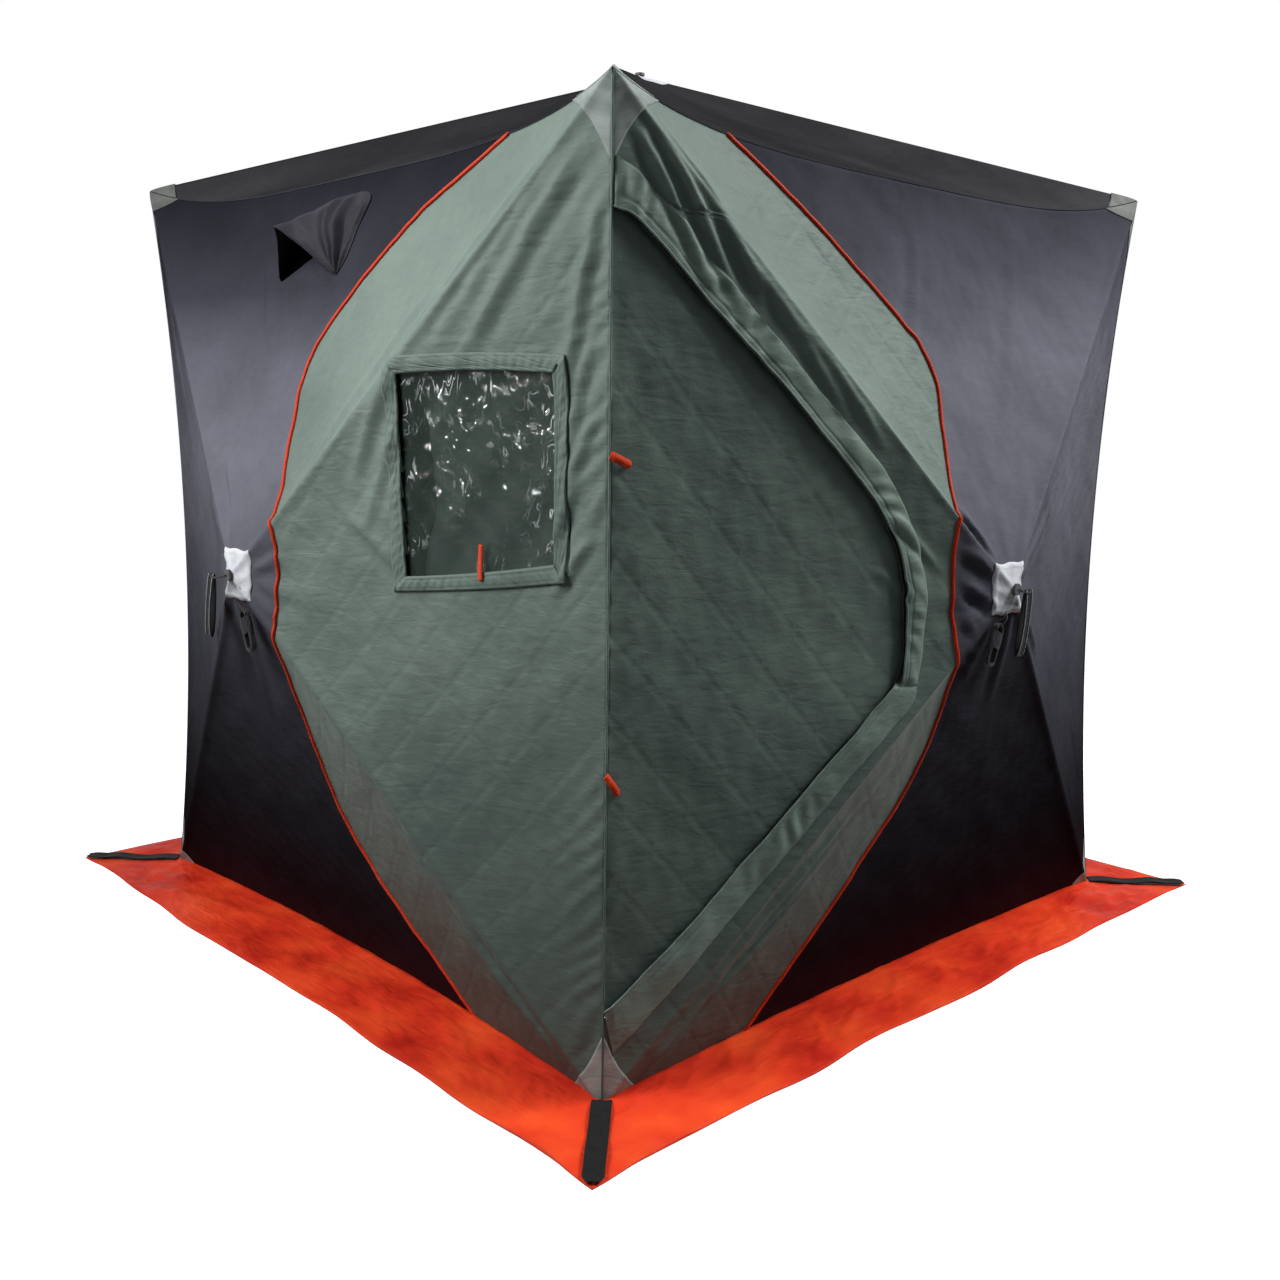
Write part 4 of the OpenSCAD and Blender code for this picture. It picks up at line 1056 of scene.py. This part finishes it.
def tie_loop(name, start, end, width):
    """A folded tab of orange webbing that ties the open door back: a flat loop with a round end,
    sewn into the corner seam."""
    n, m = 28, 9
    t = np.linspace(0, 1, n)[:, None]
    w = np.linspace(-0.5, 0.5, m)[None, :]
    (s1, z1), (s2, z2) = start, end
    length = math.hypot(s2 - s1, z2 - z1)
    across = np.array([-(z2 - z1), s2 - s1]) / length
    round_end = np.sqrt(np.clip(1 - np.clip((t - 0.86) / 0.14, 0, 1) ** 2, 0.05, 1))
    s = s1 + (s2 - s1) * t + across[0] * width * w * round_end
    z = z1 + (z2 - z1) * t + across[1] * width * w * round_end
    high = 0.0035 + 0.006 * np.sin(np.pi * t) + 0.0015 * np.cos(np.pi * w * 1.6)
    points = on_cloth("door", near_x(s), z, high)
    obj = surface(name, points, TAB_ORANGE, None, True)
    thicken(obj, 0.0022)
    bevel = obj.modifiers.new("round", "SUBSURF")
    bevel.levels = bevel.render_levels = 1
    return obj


tie_upper = tie_loop("door_tie_upper", (-0.002, 1.182), (0.042, 1.164), 0.017)
tie_lower = tie_loop("door_tie_lower", (-0.004, 0.618), (0.024, 0.578), 0.015)
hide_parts("door_tie_loops")
bend_with_door(tie_upper)
bend_with_door(tie_lower)


def corner_seam():
    """The sewn near corner: a thin rolled seam from the ice to the eaves."""
    z = np.linspace(0.002, CORNER_H - 0.01, 300)
    path = on_cloth("door", np.full_like(z, -HALF), z)
    tube("near_corner_seam", path + np.array([-0.0006, -0.0006, 0]), 0.0022, GREEN, (-1, -1, 0), 8)


corner_seam()


def edge_seams():
    """Rolled seams along the other corners, the eaves and the base of the walls."""
    z = np.linspace(0.002, CORNER_H, 160)
    for wall, name in (("door", "right_corner_seam"), ("window", "left_corner_seam"),
                       ("back", "far_corner_seam")):
        side = -HALF if wall == "back" else HALF
        path = on_cloth(wall, np.full_like(z, side), z)
        out = np.sign(path[0]) * [1, 1, 0]
        tube(name, path, 0.0024, CHARCOAL, out, 8)
    x = np.linspace(-HALF, HALF, 160)
    for wall in WALL_TURN:
        path = on_cloth(wall, x, np.full_like(x, CORNER_H))
        out = turned(np.array([0.0, -0.7, 0.7]), wall)
        tube(wall + "_eave_seam", path, 0.0016, CHARCOAL, out, 8)


edge_seams()


# ---------------------------------------------------------------- patches
PATCH_LIFT = 0.0016


def fan(reach, height):
    """A quarter fan of points, reach by height, whose outer edge is waisted a little."""
    r, a = np.meshgrid(np.linspace(0.0, 1, 17), np.linspace(0, 1, 25), indexing="ij")
    waist = 1 - 0.16 * np.sin(np.pi * a)
    return reach * r * (1 - a) * waist, height * r * a * waist


def corner_patch(wall, end, top, reach, height):
    """A grid over one wall's share of a corner patch, from the eave or the base to the corner's
    upright."""
    dx, dz = fan(reach, height)
    x = -HALF + dx if end == 0 else HALF - dx
    z = CORNER_H - dz if top else dz
    flip = WALL_MIRRORED[wall] ^ (end == 1) ^ (not top)
    return on_cloth(wall, x, np.maximum(z, 0.001), PATCH_LIFT), flip


def roof_patch(turn, reach):
    """The roof's share of a top corner patch."""
    dx, dy = fan(reach, reach)
    points = roof_cloth(-HALF + dx, -HALF + dy) + [0, 0, PATCH_LIFT]
    c, s = math.cos(turn), math.sin(turn)
    points[..., :2] = points[..., :2] @ np.array([[c, s], [-s, c]])
    return points, False


def joined(name, parts, material, replaces=()):
    """Several grids as one piece; each part is (points, flip)."""
    points, faces, uv, start = [], [], [], 0
    for grid, flip in parts:
        rows, cols = grid.shape[:2]
        faces.append(grid_faces(rows, cols, flip) + start)
        points.append(grid.reshape(-1, 3))
        across = np.linalg.norm(grid - grid[:, :1], axis=-1)
        along = np.linalg.norm(grid - grid[:1], axis=-1)
        uv.append(np.stack([across, along], -1).reshape(-1, 2))
        start += rows * cols
    obj = mesh_object(name, np.vstack(points), np.vstack(faces), material, np.vstack(uv))
    thicken(obj, 0.0016)
    belongs(obj, "shelter", replaces)


CORNERS = {"near": (("door", 0), ("window", 0)), "right": (("door", 1), ("right", 1)),
           "left": (("window", 1), ("back", 1)), "far": (("right", 0), ("back", 0))}
ROOF_TURNS = {"near": 0.0, "right": math.pi / 2, "far": math.pi, "left": -math.pi / 2}
for corner, faces_of in CORNERS.items():
    top_parts = [corner_patch(w, e, True, 0.122, 0.142) for w, e in faces_of]
    top_parts.append(roof_patch(ROOF_TURNS[corner], 0.11))
    low_parts = [corner_patch(w, e, False, 0.092, 0.132) for w, e in faces_of]
    # The three far top corners take the darker copy, painted shade
    joined(corner + "_top_patch", top_parts, GREY_PATCH if corner == "near" else SHADED_GREY_PATCH,
           ("top_corner_patches",) if corner == "near" else ())
    joined(corner + "_bottom_patch", low_parts, GREY_PATCH,
           ("bottom_corner_patches",) if corner == "near" else ())


def hub_patch(wall):
    """The square of ripstop round a wall hub, with slightly wavy sewn edges."""
    p, q = np.meshgrid(np.linspace(-1, 1, 29), np.linspace(-1, 1, 29))
    wave = 0.0015 * np.sin(7 * q + 1), 0.0015 * np.sin(6 * p)
    x = -0.004 + 0.0525 * p + wave[0] * np.abs(p)
    z = HUB_Z + 0.002 + 0.0535 * q + wave[1] * np.abs(q)
    edge = np.maximum(np.abs(p), np.abs(q))
    lift = 0.0018 + 0.0022 * np.exp(-((edge - 0.86) / 0.05) ** 2)
    lift = lift + 0.001 * ripple(x, z, 61, 0.06, 0.02, 5)
    return on_cloth(wall, x, z, lift), WALL_MIRRORED[wall]


def roof_hub_patch():
    """The square of ripstop round the roof hub."""
    p, q = np.meshgrid(np.linspace(-0.053, 0.053, 25), np.linspace(-0.053, 0.053, 25))
    return roof_cloth(p, q) + [0, 0, 0.002], False


joined("hub_patches_cloth", [hub_patch(w) for w in WALL_TURN] + [roof_hub_patch()], LIGHT_PATCH,
       ("hub_patches",))


# ---------------------------------------------------------------- the window
def window_point(a, b, lift, grow=0.0):
    """A point over the window's opening: a runs from its near edge to its far edge, b from its
    lower edge to its upper edge, grow moves the edges outwards, and the edges bow a little."""
    s1, s2 = WINDOW_S[0] - grow, WINDOW_S[1] + grow
    s = s1 + (s2 - s1) * a + 0.004 * np.sin(np.pi * b) * (2 * a - 1)
    low = WINDOW_Z[0] + WINDOW_SLANT * (0.5 - a) - grow - 0.004 * np.sin(np.pi * a)
    high = WINDOW_Z[1] + grow + 0.006 * np.sin(np.pi * a)
    return on_cloth("window", near_x(s), low + (high - low) * b, lift)


def window_band():
    """The sewn band round the opening: a frame of doubled cloth with a raised stitched edge."""
    n = 60
    t = np.linspace(0, 1, n)
    around = np.concatenate([np.stack([t, 0 * t], -1), np.stack([1 + 0 * t, t], -1),
                             np.stack([1 - t, 1 + 0 * t], -1), np.stack([0 * t, 1 - t], -1)])
    m = 13
    w = np.linspace(0, 1, m)
    a = np.repeat(around[:, :1], m, 1)
    b = np.repeat(around[:, 1:], m, 1)
    stitch = np.exp(-((w - 0.22) / 0.06) ** 2) + np.exp(-((w - 0.82) / 0.06) ** 2)
    run = np.arange(len(around))[:, None] * 0.0062
    pucker = 0.0012 * np.sin(2 * np.pi * run / 0.019 + 3 * w + np.sin(run / 0.06)) * np.sin(
        np.pi * w)
    lift = 0.0026 * smooth(w / 0.1 + 0.25) * smooth((1 - w) / 0.1 + 0.2) - 0.0012 * stitch + pucker
    points = np.stack([window_point(a[:, k], b[:, k], lift[:, k] + 0.0012, 0.030 * w[k])
                       for k in range(m)], 1)
    points = np.concatenate([points, points[:1]])
    obj = surface("window_band_cloth", points, GREEN, "shelter", False,
                  replaces=("window_band_frame",))
    thicken(obj, 0.0016)


window_band()


def window_pane():
    """The clear sheet: sewn under the band, so it sits back at its edges and billows between."""
    a, b = np.meshgrid(np.linspace(-0.02, 1.02, 90), np.linspace(-0.02, 1.02, 96))
    inside = np.sin(np.pi * np.clip(a, 0, 1)) * np.sin(np.pi * np.clip(b, 0, 1))
    wrinkle = 0.0034 * ripple(a * 0.35 + b * 0.1, b * 0.36, 71, 0.22, 0.045, 8)
    pull = 0.0022 * np.sin(2 * np.pi * (a * 0.35 - b * 0.36) / 0.07 + 2 * np.sin(4 * b))
    points = window_point(a, b, -0.0045 + (wrinkle + pull) * inside**0.5 + 0.004 * inside)
    obj = surface("window_clear_sheet", points, VINYL, "shelter", True,
                  np.stack([a * 0.35, b * 0.36], -1), ("window_pane",))
    thicken(obj, 0.0008)


window_pane()


def window_curtain():
    """The inner curtain, hung by its upper edge: it stands off the pane, and its near side curls
    away so that the dark inside shows past it."""
    p, q = np.meshgrid(np.linspace(0, 1, 80), np.linspace(0, 1, 80))
    near = 0.03 + 0.09 * np.sin(np.pi * np.clip(1 - q, 0, 1)) ** 1.5
    a = near + (1.05 - near) * p
    b = -0.05 + 1.09 * q
    folds = 0.006 * np.sin(2 * np.pi * (a * 0.35 - b * 0.30) / 0.15 + 1.1)
    sag = 0.010 * np.sin(np.pi * np.clip(q, 0, 1)) + 0.020 * np.exp(-p / 0.06)
    points = window_point(1 - a, b, -0.020 - sag + folds * 0.6)
    obj = surface("window_curtain_cloth", points, GREEN, "shelter", False,
                  np.stack([a * 0.35, b * 0.36], -1), ("window_curtain",))
    thicken(obj, 0.002)


window_curtain()


def pull_tab():
    """The orange tab at the foot of the window, a strip of folded webbing."""
    t, w = np.meshgrid(np.linspace(0, 1, 26), np.linspace(-0.5, 0.5, 7), indexing="ij")
    s = 0.283 + 0.0095 * w + 0.002 * np.sin(3 * t)
    z = 0.946 + 0.066 * t
    lift = 0.007 - 0.004 * t + 0.0015 * np.cos(np.pi * w)
    points = on_cloth("window", near_x(s), z, lift)
    obj = surface("window_pull_tab_webbing", points, TAB_ORANGE, "shelter", False,
                  replaces=("window_pull_tab",))
    thicken(obj, 0.0018)


pull_tab()


# ---------------------------------------------------------------- the vent hood
# The hood's sewn line, from the mouth's near end over the top to its far end: x and z
HOOD_FIXED = [(-0.055, 1.578), (-0.081, 1.620), (-0.097, 1.680), (-0.121, 1.749), (-0.025, 1.759),
              (0.085, 1.745), (0.155, 1.710), (0.187, 1.645), (0.181, 1.579)]
# The mouth's hem between the same ends: x, z and height off the wall
HOOD_HEM = [(-0.055, 1.578, 0.002), (-0.009, 1.606, 0.031), (0.037, 1.635, 0.060),
            (0.081, 1.661, 0.087), (0.114, 1.634, 0.059),
            (0.148, 1.606, 0.031), (0.181, 1.579, 0.002)]


def hood_pleats(x, z):
    """The pleats' height: ridges and hollows that fan out from the mouth's near end."""
    angle, away = np.arctan2(x + 0.055, z - 1.570), np.hypot(x + 0.055, z - 1.570)
    total = 0.0028 * np.sin(17 * angle + 9 * away)
    for high, centre, wide in ((0.0085, 0.30, 0.07), (-0.0110, 0.40, 0.06), (0.0060, 0.05, 0.06),
                               (-0.0050, -0.08, 0.05)):
        total = total + high * np.exp(-((angle - centre) / wide) ** 2)
    return total * smooth(away / 0.05)


def vent_hood():
    """The hood over the vent: loose cloth from a line sewn round its top and sides to a stiff
    hem. A flat band runs along the hem, widest at the mouth's near end, the cloth sags behind it,
    and pleats fan out from that end."""
    n, m = 110, 48
    fixed, hem = curve_through(HOOD_FIXED, n), curve_through(HOOD_HEM, n)
    w = np.linspace(0, 1, m)[None, :]
    x = fixed[:, :1] + (hem[:, :1] - fixed[:, :1]) * w
    z = fixed[:, 1:2] + (hem[:, 1:2] - fixed[:, 1:2]) * w
    t = np.linspace(0, 1, n)[:, None]
    band = 0.74 + 0.26 * smooth(t / 0.50)
    rise = np.clip(w / band, 0, 1) ** 1.10
    sag = 0.22 * np.exp(-((w - band + 0.20) / 0.12) ** 2) * smooth((0.46 - t) / 0.40)
    stand = hem[:, 2:] * (rise - sag)
    pleat = hood_pleats(x, z) * smooth((w - 0.03) / 0.15) * smooth((0.84 - w) / 0.1)
    stitch = 0.0012 * np.exp(-((w - 0.83) / 0.012) ** 2)
    out = turned(np.array([0.0, -CORNER_H + HUB_Z, HUB_BULGE]), "window")
    out = out / np.linalg.norm(out)                   # straight off the upper panel
    points = on_cloth("window", x, z, 0.0016)
    points = points + np.maximum(0.0004 + stand + pleat - stitch, 0)[..., None] * out
    obj = surface("vent_hood_cloth", points, HOOD_CHARCOAL, "shelter", True,
                  np.stack([x, z], -1), ("vent_hood",))
    thicken(obj, 0.002)
    tube("vent_hood_hem", points[2:-2, -1], 0.0022, HOOD_CHARCOAL,
         turned(np.array([0, -1, 0.1]), "window"), 6)


def vent_net():
    """The insect net under the hood's mouth."""
    a, b = np.meshgrid(np.linspace(0, 1, 40), np.linspace(0, 1, 24), indexing="ij")
    mouth_x = 0.050 + 0.128 * a
    top = 1.579 + 0.085 * np.sin(np.pi * a) ** 0.7
    sill = 1.577 + 0.40 * (0.178 - mouth_x)
    mesh = on_cloth("window", mouth_x, sill + (top - 1.577) * b, 0.0012)
    net = surface("vent_net_painted_shade", mesh, NET_AND_PAINTED_SHADE, "shelter", True)
    thicken(net, 0.0006)


vent_hood()
vent_net()


# ---------------------------------------------------------------- the skirt and its straps
def skirt(wall, seed):
    """A strip that lies on the ice from the wall's foot to a slightly wavy outer edge, mitred at
    the corners, with soft rolls across it and sharp small creases."""
    n, m = (200, 26) if wall in ("door", "window") else (110, 16)
    p, q = np.meshgrid(np.linspace(-1, 1, n), np.linspace(0, 1, m))
    foot = cloth(wall, p * HALF, np.full_like(p, 0.004))
    wavy = 0.007 * ripple(p, 0 * p, seed, 0.9, 0.25, 5) * (1 - p**4)
    reach = SKIRT_OUT - 0.002
    outer_x = p * reach
    corner = smooth((np.abs(p) - 0.9) / 0.1)
    outer_y = (-reach + 0.006 + wavy) * (1 - corner) - reach * corner
    x = foot[..., 0] + (outer_x - foot[..., 0]) * q
    y = (foot[..., 1] - 0.0015) + (outer_y - foot[..., 1] + 0.0015) * q
    roll = ripple(x + 0.5 * y, y, seed + 1, 0.38, 0.07, 9)
    sharp = np.abs(ripple(x - 0.8 * y, y * 1.3, seed + 2, 0.26, 0.06, 7))
    high = 0.0035 + 0.0052 * (roll + 0.6) * np.sin(np.pi * np.clip(q, 0, 1)) ** 0.6
    high = high + 0.0042 * np.exp(-(sharp / 0.35) ** 2) * np.sin(np.pi * q) ** 0.5
    high = high * (1 - 0.65 * corner) + 0.010 * (1 - q) ** 6
    flat_end = np.clip(high, 0.0030, None)
    points = turned(np.stack([x, y, flat_end], -1), wall)
    node = {"door": "front", "window": "left"}.get(wall, wall)
    obj = surface("skirt_" + wall + "_nylon", points, ORANGE, "shelter",
                  not WALL_MIRRORED[wall], np.stack([x, y], -1),
                  ("skirt_" + node,))
    thicken(obj, 0.0015)


for number, wall in enumerate(WALL_TURN):
    skirt(wall, 80 + 7 * number)

STRAP_W, STRAP_START, STRAP_LENGTH = 0.038, 0.004, 0.258
GROMMET_AT = STRAP_START + 0.002 + STRAP_LENGTH - 0.049


def grommet(corner, place, level):
    """A strap's plated ring, round a place and level with the webbing's face."""
    rings, round_ = np.meshgrid(np.linspace(0, 2 * np.pi, 40, endpoint=False),
                                np.linspace(0, 2 * np.pi, 12, endpoint=False), indexing="ij")
    reach = 0.0082 + 0.0027 * np.cos(round_)
    ring = np.stack([place[0] + reach * np.cos(rings), place[1] + reach * np.sin(rings),
                     level + 0.0003 + 0.0014 * np.sin(round_)], -1)
    ring = np.concatenate([ring, ring[:1]])
    faces = grid_faces(41, 12, True, wrap=True)
    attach(mesh_object("grommet_" + corner, ring, faces, PLATED), "shelter")


def strap(corner, sx, sy):
    """A corner strap: webbing with a cut, tapered end, laid along the diagonal, and its grommet."""
    n, m = 60, 11
    t, w = np.meshgrid(np.linspace(0, 1, n), np.linspace(-0.5, 0.5, m), indexing="ij")
    run = STRAP_START + STRAP_LENGTH * t
    narrow = 1 - 0.32 * smooth((t - 0.94) / 0.06)
    side = STRAP_W * w * narrow
    hole = np.hypot(run - GROMMET_AT, side)
    z = 0.0098 + 0.0035 * np.sin(9 * t + 1.0) * smooth(t * 4) * (1 - 0.7 * smooth((t - 0.6) / 0.2))
    z = z + 0.001 * np.exp(-((np.abs(w) - 0.42) / 0.05) ** 2)
    z = z * (1 - 0.35 * np.exp(-(hole / 0.02) ** 2))
    diagonal = np.array([sx, sy]) / math.sqrt(2)
    across = np.array([-sy, sx]) / math.sqrt(2)
    xy = np.array([sx, sy]) * HALF + run[..., None] * diagonal + side[..., None] * across
    points = np.concatenate([xy, z[..., None]], -1)
    obj = surface("corner_strap_" + corner, points, BLACK_WEBBING, "shelter", False,
                  np.stack([side, run], -1),
                  ("corner_straps",) if corner == "near" else ())
    thicken(obj, 0.0024)
    place = np.array([sx, sy]) * HALF + GROMMET_AT * diagonal
    grommet(corner, place, float(np.interp(GROMMET_AT, run[:, 5], z[:, 5])))


for corner, signs in {"near": (-1, -1), "right": (1, -1), "far": (1, 1), "left": (-1, 1)}.items():
    strap(corner, *signs)


# ---------------------------------------------------------------- pull straps at the hubs
PULL_CORD_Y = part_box("pull_straps")[0].y + 0.005
PULL_W, PULL_DROP = 0.026, 0.136
WEBBING_T = 0.0016


def pull_strap(wall, offset):
    """A hub's pull strap: a short cord from the stud to a long loop of webbing with pale edges,
    which hangs almost straight and ends in a round bight."""
    reach = np.linspace(0, 1, 30)
    cord = np.stack([0.002 + (offset + 0.012) * reach,
                     PULL_CORD_Y - 0.004 * np.sin(np.pi * reach) + 0 * reach,
                     HUB_Z - 0.006 * np.sin(np.pi * reach) - 0.004 * reach], -1)
    facing = turned(np.array([0.02, -1.0, 0.3]), wall)
    tube("pull_cord_" + wall, turned(cord, wall), 0.0021, BLACK_CORD, facing, 8)
    around = np.linspace(0, 2 * np.pi, 72, endpoint=False)
    bulge = 0.0046 + 0.0022 * np.sin(around / 2) ** 2
    drop = -PULL_DROP / 2 * (1 - np.cos(around))
    depth = bulge * np.sin(around)
    lean = -0.14 * drop * (1 - drop / PULL_DROP * 0.2) * (-1 if wall in ("window", "right") else 1)
    w = np.linspace(-0.5, 0.5, 9)
    twist = 0.18 * np.sin(np.clip(-drop / PULL_DROP, 0, 1) * np.pi)
    x = offset - lean[:, None] + PULL_W * w[None] * np.cos(twist)[:, None]
    y = PULL_CORD_Y + depth[:, None] + PULL_W * w[None] * np.sin(twist)[:, None] * 0.35
    z = HUB_Z - 0.002 + drop[:, None] + 0 * w[None]
    band = turned(np.stack([x, y, z], -1), wall)
    band = np.concatenate([band, band[:1]])
    obj = surface("pull_strap_" + wall, band, BLACK_WEBBING, "shelter", WALL_MIRRORED[wall],
                  replaces=("pull_straps",) if wall == "door" else ())
    thicken(obj, WEBBING_T, 0.0)
    for side, column in (("near", 1), ("far", -2)):
        edge = turned(np.stack([x[:, column], y[:, column], z[:, column]], -1), wall)
        front = edge[depth < 0] + turned(np.array([0, -WEBBING_T, 0]), wall)
        tube(f"pull_strap_{wall}_{side}_edge", front, 0.0010, PALE_EDGE_LINE, facing, 6)


for wall, offset in (("door", 0.035), ("window", 0.062), ("right", 0.062), ("back", 0.035)):
    pull_strap(wall, offset)

# ---------------------------------------------------------------- finishes of the CAD nodes
FINISH = {"front_poles": ROD, "left_poles": ROD, "right_poles": ROD, "back_poles": ROD,
          "roof_poles": ROD, "wall_hubs": NYLON, "roof_hub": NYLON, "top_corner_sockets": NYLON,
          "bottom_corner_sockets": NYLON}
for node, material in FINISH.items():
    frame["nodes"][node].data.materials.clear()
    frame["nodes"][node].data.materials.append(material)


# ---------------------------------------------------------------- studio
def seen_by_eye(tree):
    """1 for rays straight from the camera and for those in gloss and in glass, 0 for others."""
    path = add(tree, "ShaderNodeLightPath")
    return folded(tree, "MAXIMUM", [path.outputs[kind + " Ray"] for kind in (
        "Is Camera", "Is Glossy", "Is Transmission")])


def floor():
    """A plain pale floor. To the camera, and in gloss and glass, it is white away from the
    object's shadow; the light that it throws back on the cloth is that of a grey floor."""
    material = bpy.data.materials.new("studio_floor")
    material.use_nodes = True
    tree = material.node_tree
    tree.nodes.clear()
    shadowed = add(tree, "ShaderNodeBsdfDiffuse", {"Color": linear("#f4f4f4")})
    white = add(tree, "ShaderNodeEmission", {"Color": (1, 1, 1, 1), "Strength": 0.90})
    both = add(tree, "ShaderNodeAddShader", {0: shadowed.outputs[0], 1: white.outputs[0]})
    grey = add(tree, "ShaderNodeBsdfDiffuse", {"Color": linear("#2c2c2c")})
    mix = add(tree, "ShaderNodeMixShader", {0: seen_by_eye(tree), 1: grey.outputs[0],
                                            2: both.outputs[0]})
    out = add(tree, "ShaderNodeOutputMaterial")
    tree.links.new(mix.outputs[0], out.inputs["Surface"])
    mesh = bpy.data.meshes.new("studio_floor")
    mesh.from_pydata([(-14, -14, 0), (14, -14, 0), (14, 14, 0), (-14, 14, 0)], [], [(0, 1, 2, 3)])
    mesh.materials.append(material)
    obj = bpy.data.objects.new("studio_floor", mesh)
    bpy.context.scene.collection.objects.link(obj)


def world():
    """An even grey studio all round, which shows white to the camera, in gloss and in glass."""
    made = bpy.data.worlds.new("studio")
    bpy.context.scene.world = made
    made.use_nodes = True
    tree = made.node_tree
    tree.nodes.clear()
    soft = add(tree, "ShaderNodeBackground", {"Color": linear("#c8ccd2"), "Strength": 0.22})
    white = add(tree, "ShaderNodeBackground", {"Color": (1, 1, 1, 1), "Strength": 1.0})
    mix = add(tree, "ShaderNodeMixShader", {0: seen_by_eye(tree), 1: soft.outputs[0],
                                            2: white.outputs[0]})
    out = add(tree, "ShaderNodeOutputWorld")
    tree.links.new(mix.outputs[0], out.inputs["Surface"])


def lamp(name, place, target, size, watts):
    """A soft square lamp aimed at a point."""
    data = bpy.data.lights.new(name, "AREA")
    data.shape, data.size, data.energy = "SQUARE", size, watts
    obj = bpy.data.objects.new(name, data)
    obj.visible_camera = False
    bpy.context.scene.collection.objects.link(obj)
    back = np.array(place, float) - np.array(target, float)
    back /= np.linalg.norm(back)
    side = np.cross([0, 0, 1.0], back)
    side /= np.linalg.norm(side)
    obj.matrix_world = standing(place, side, np.cross(back, side), back)
    return obj


floor()
world()
lamp("left", (-2.45, 0.05, 2.5), (-0.9, -0.1, 0.95), 1.3, 64)
lamp("right", (1.5, -2.35, 3.4), (0.1, -0.9, 1.1), 1.6, 137)
lamp("window_glint", (-4.6, 1.0, 1.9), (-0.98, -0.6, 1.15), 0.24, 150).visible_diffuse = False

scene = bpy.context.scene
scene.view_settings.view_transform = "Standard"
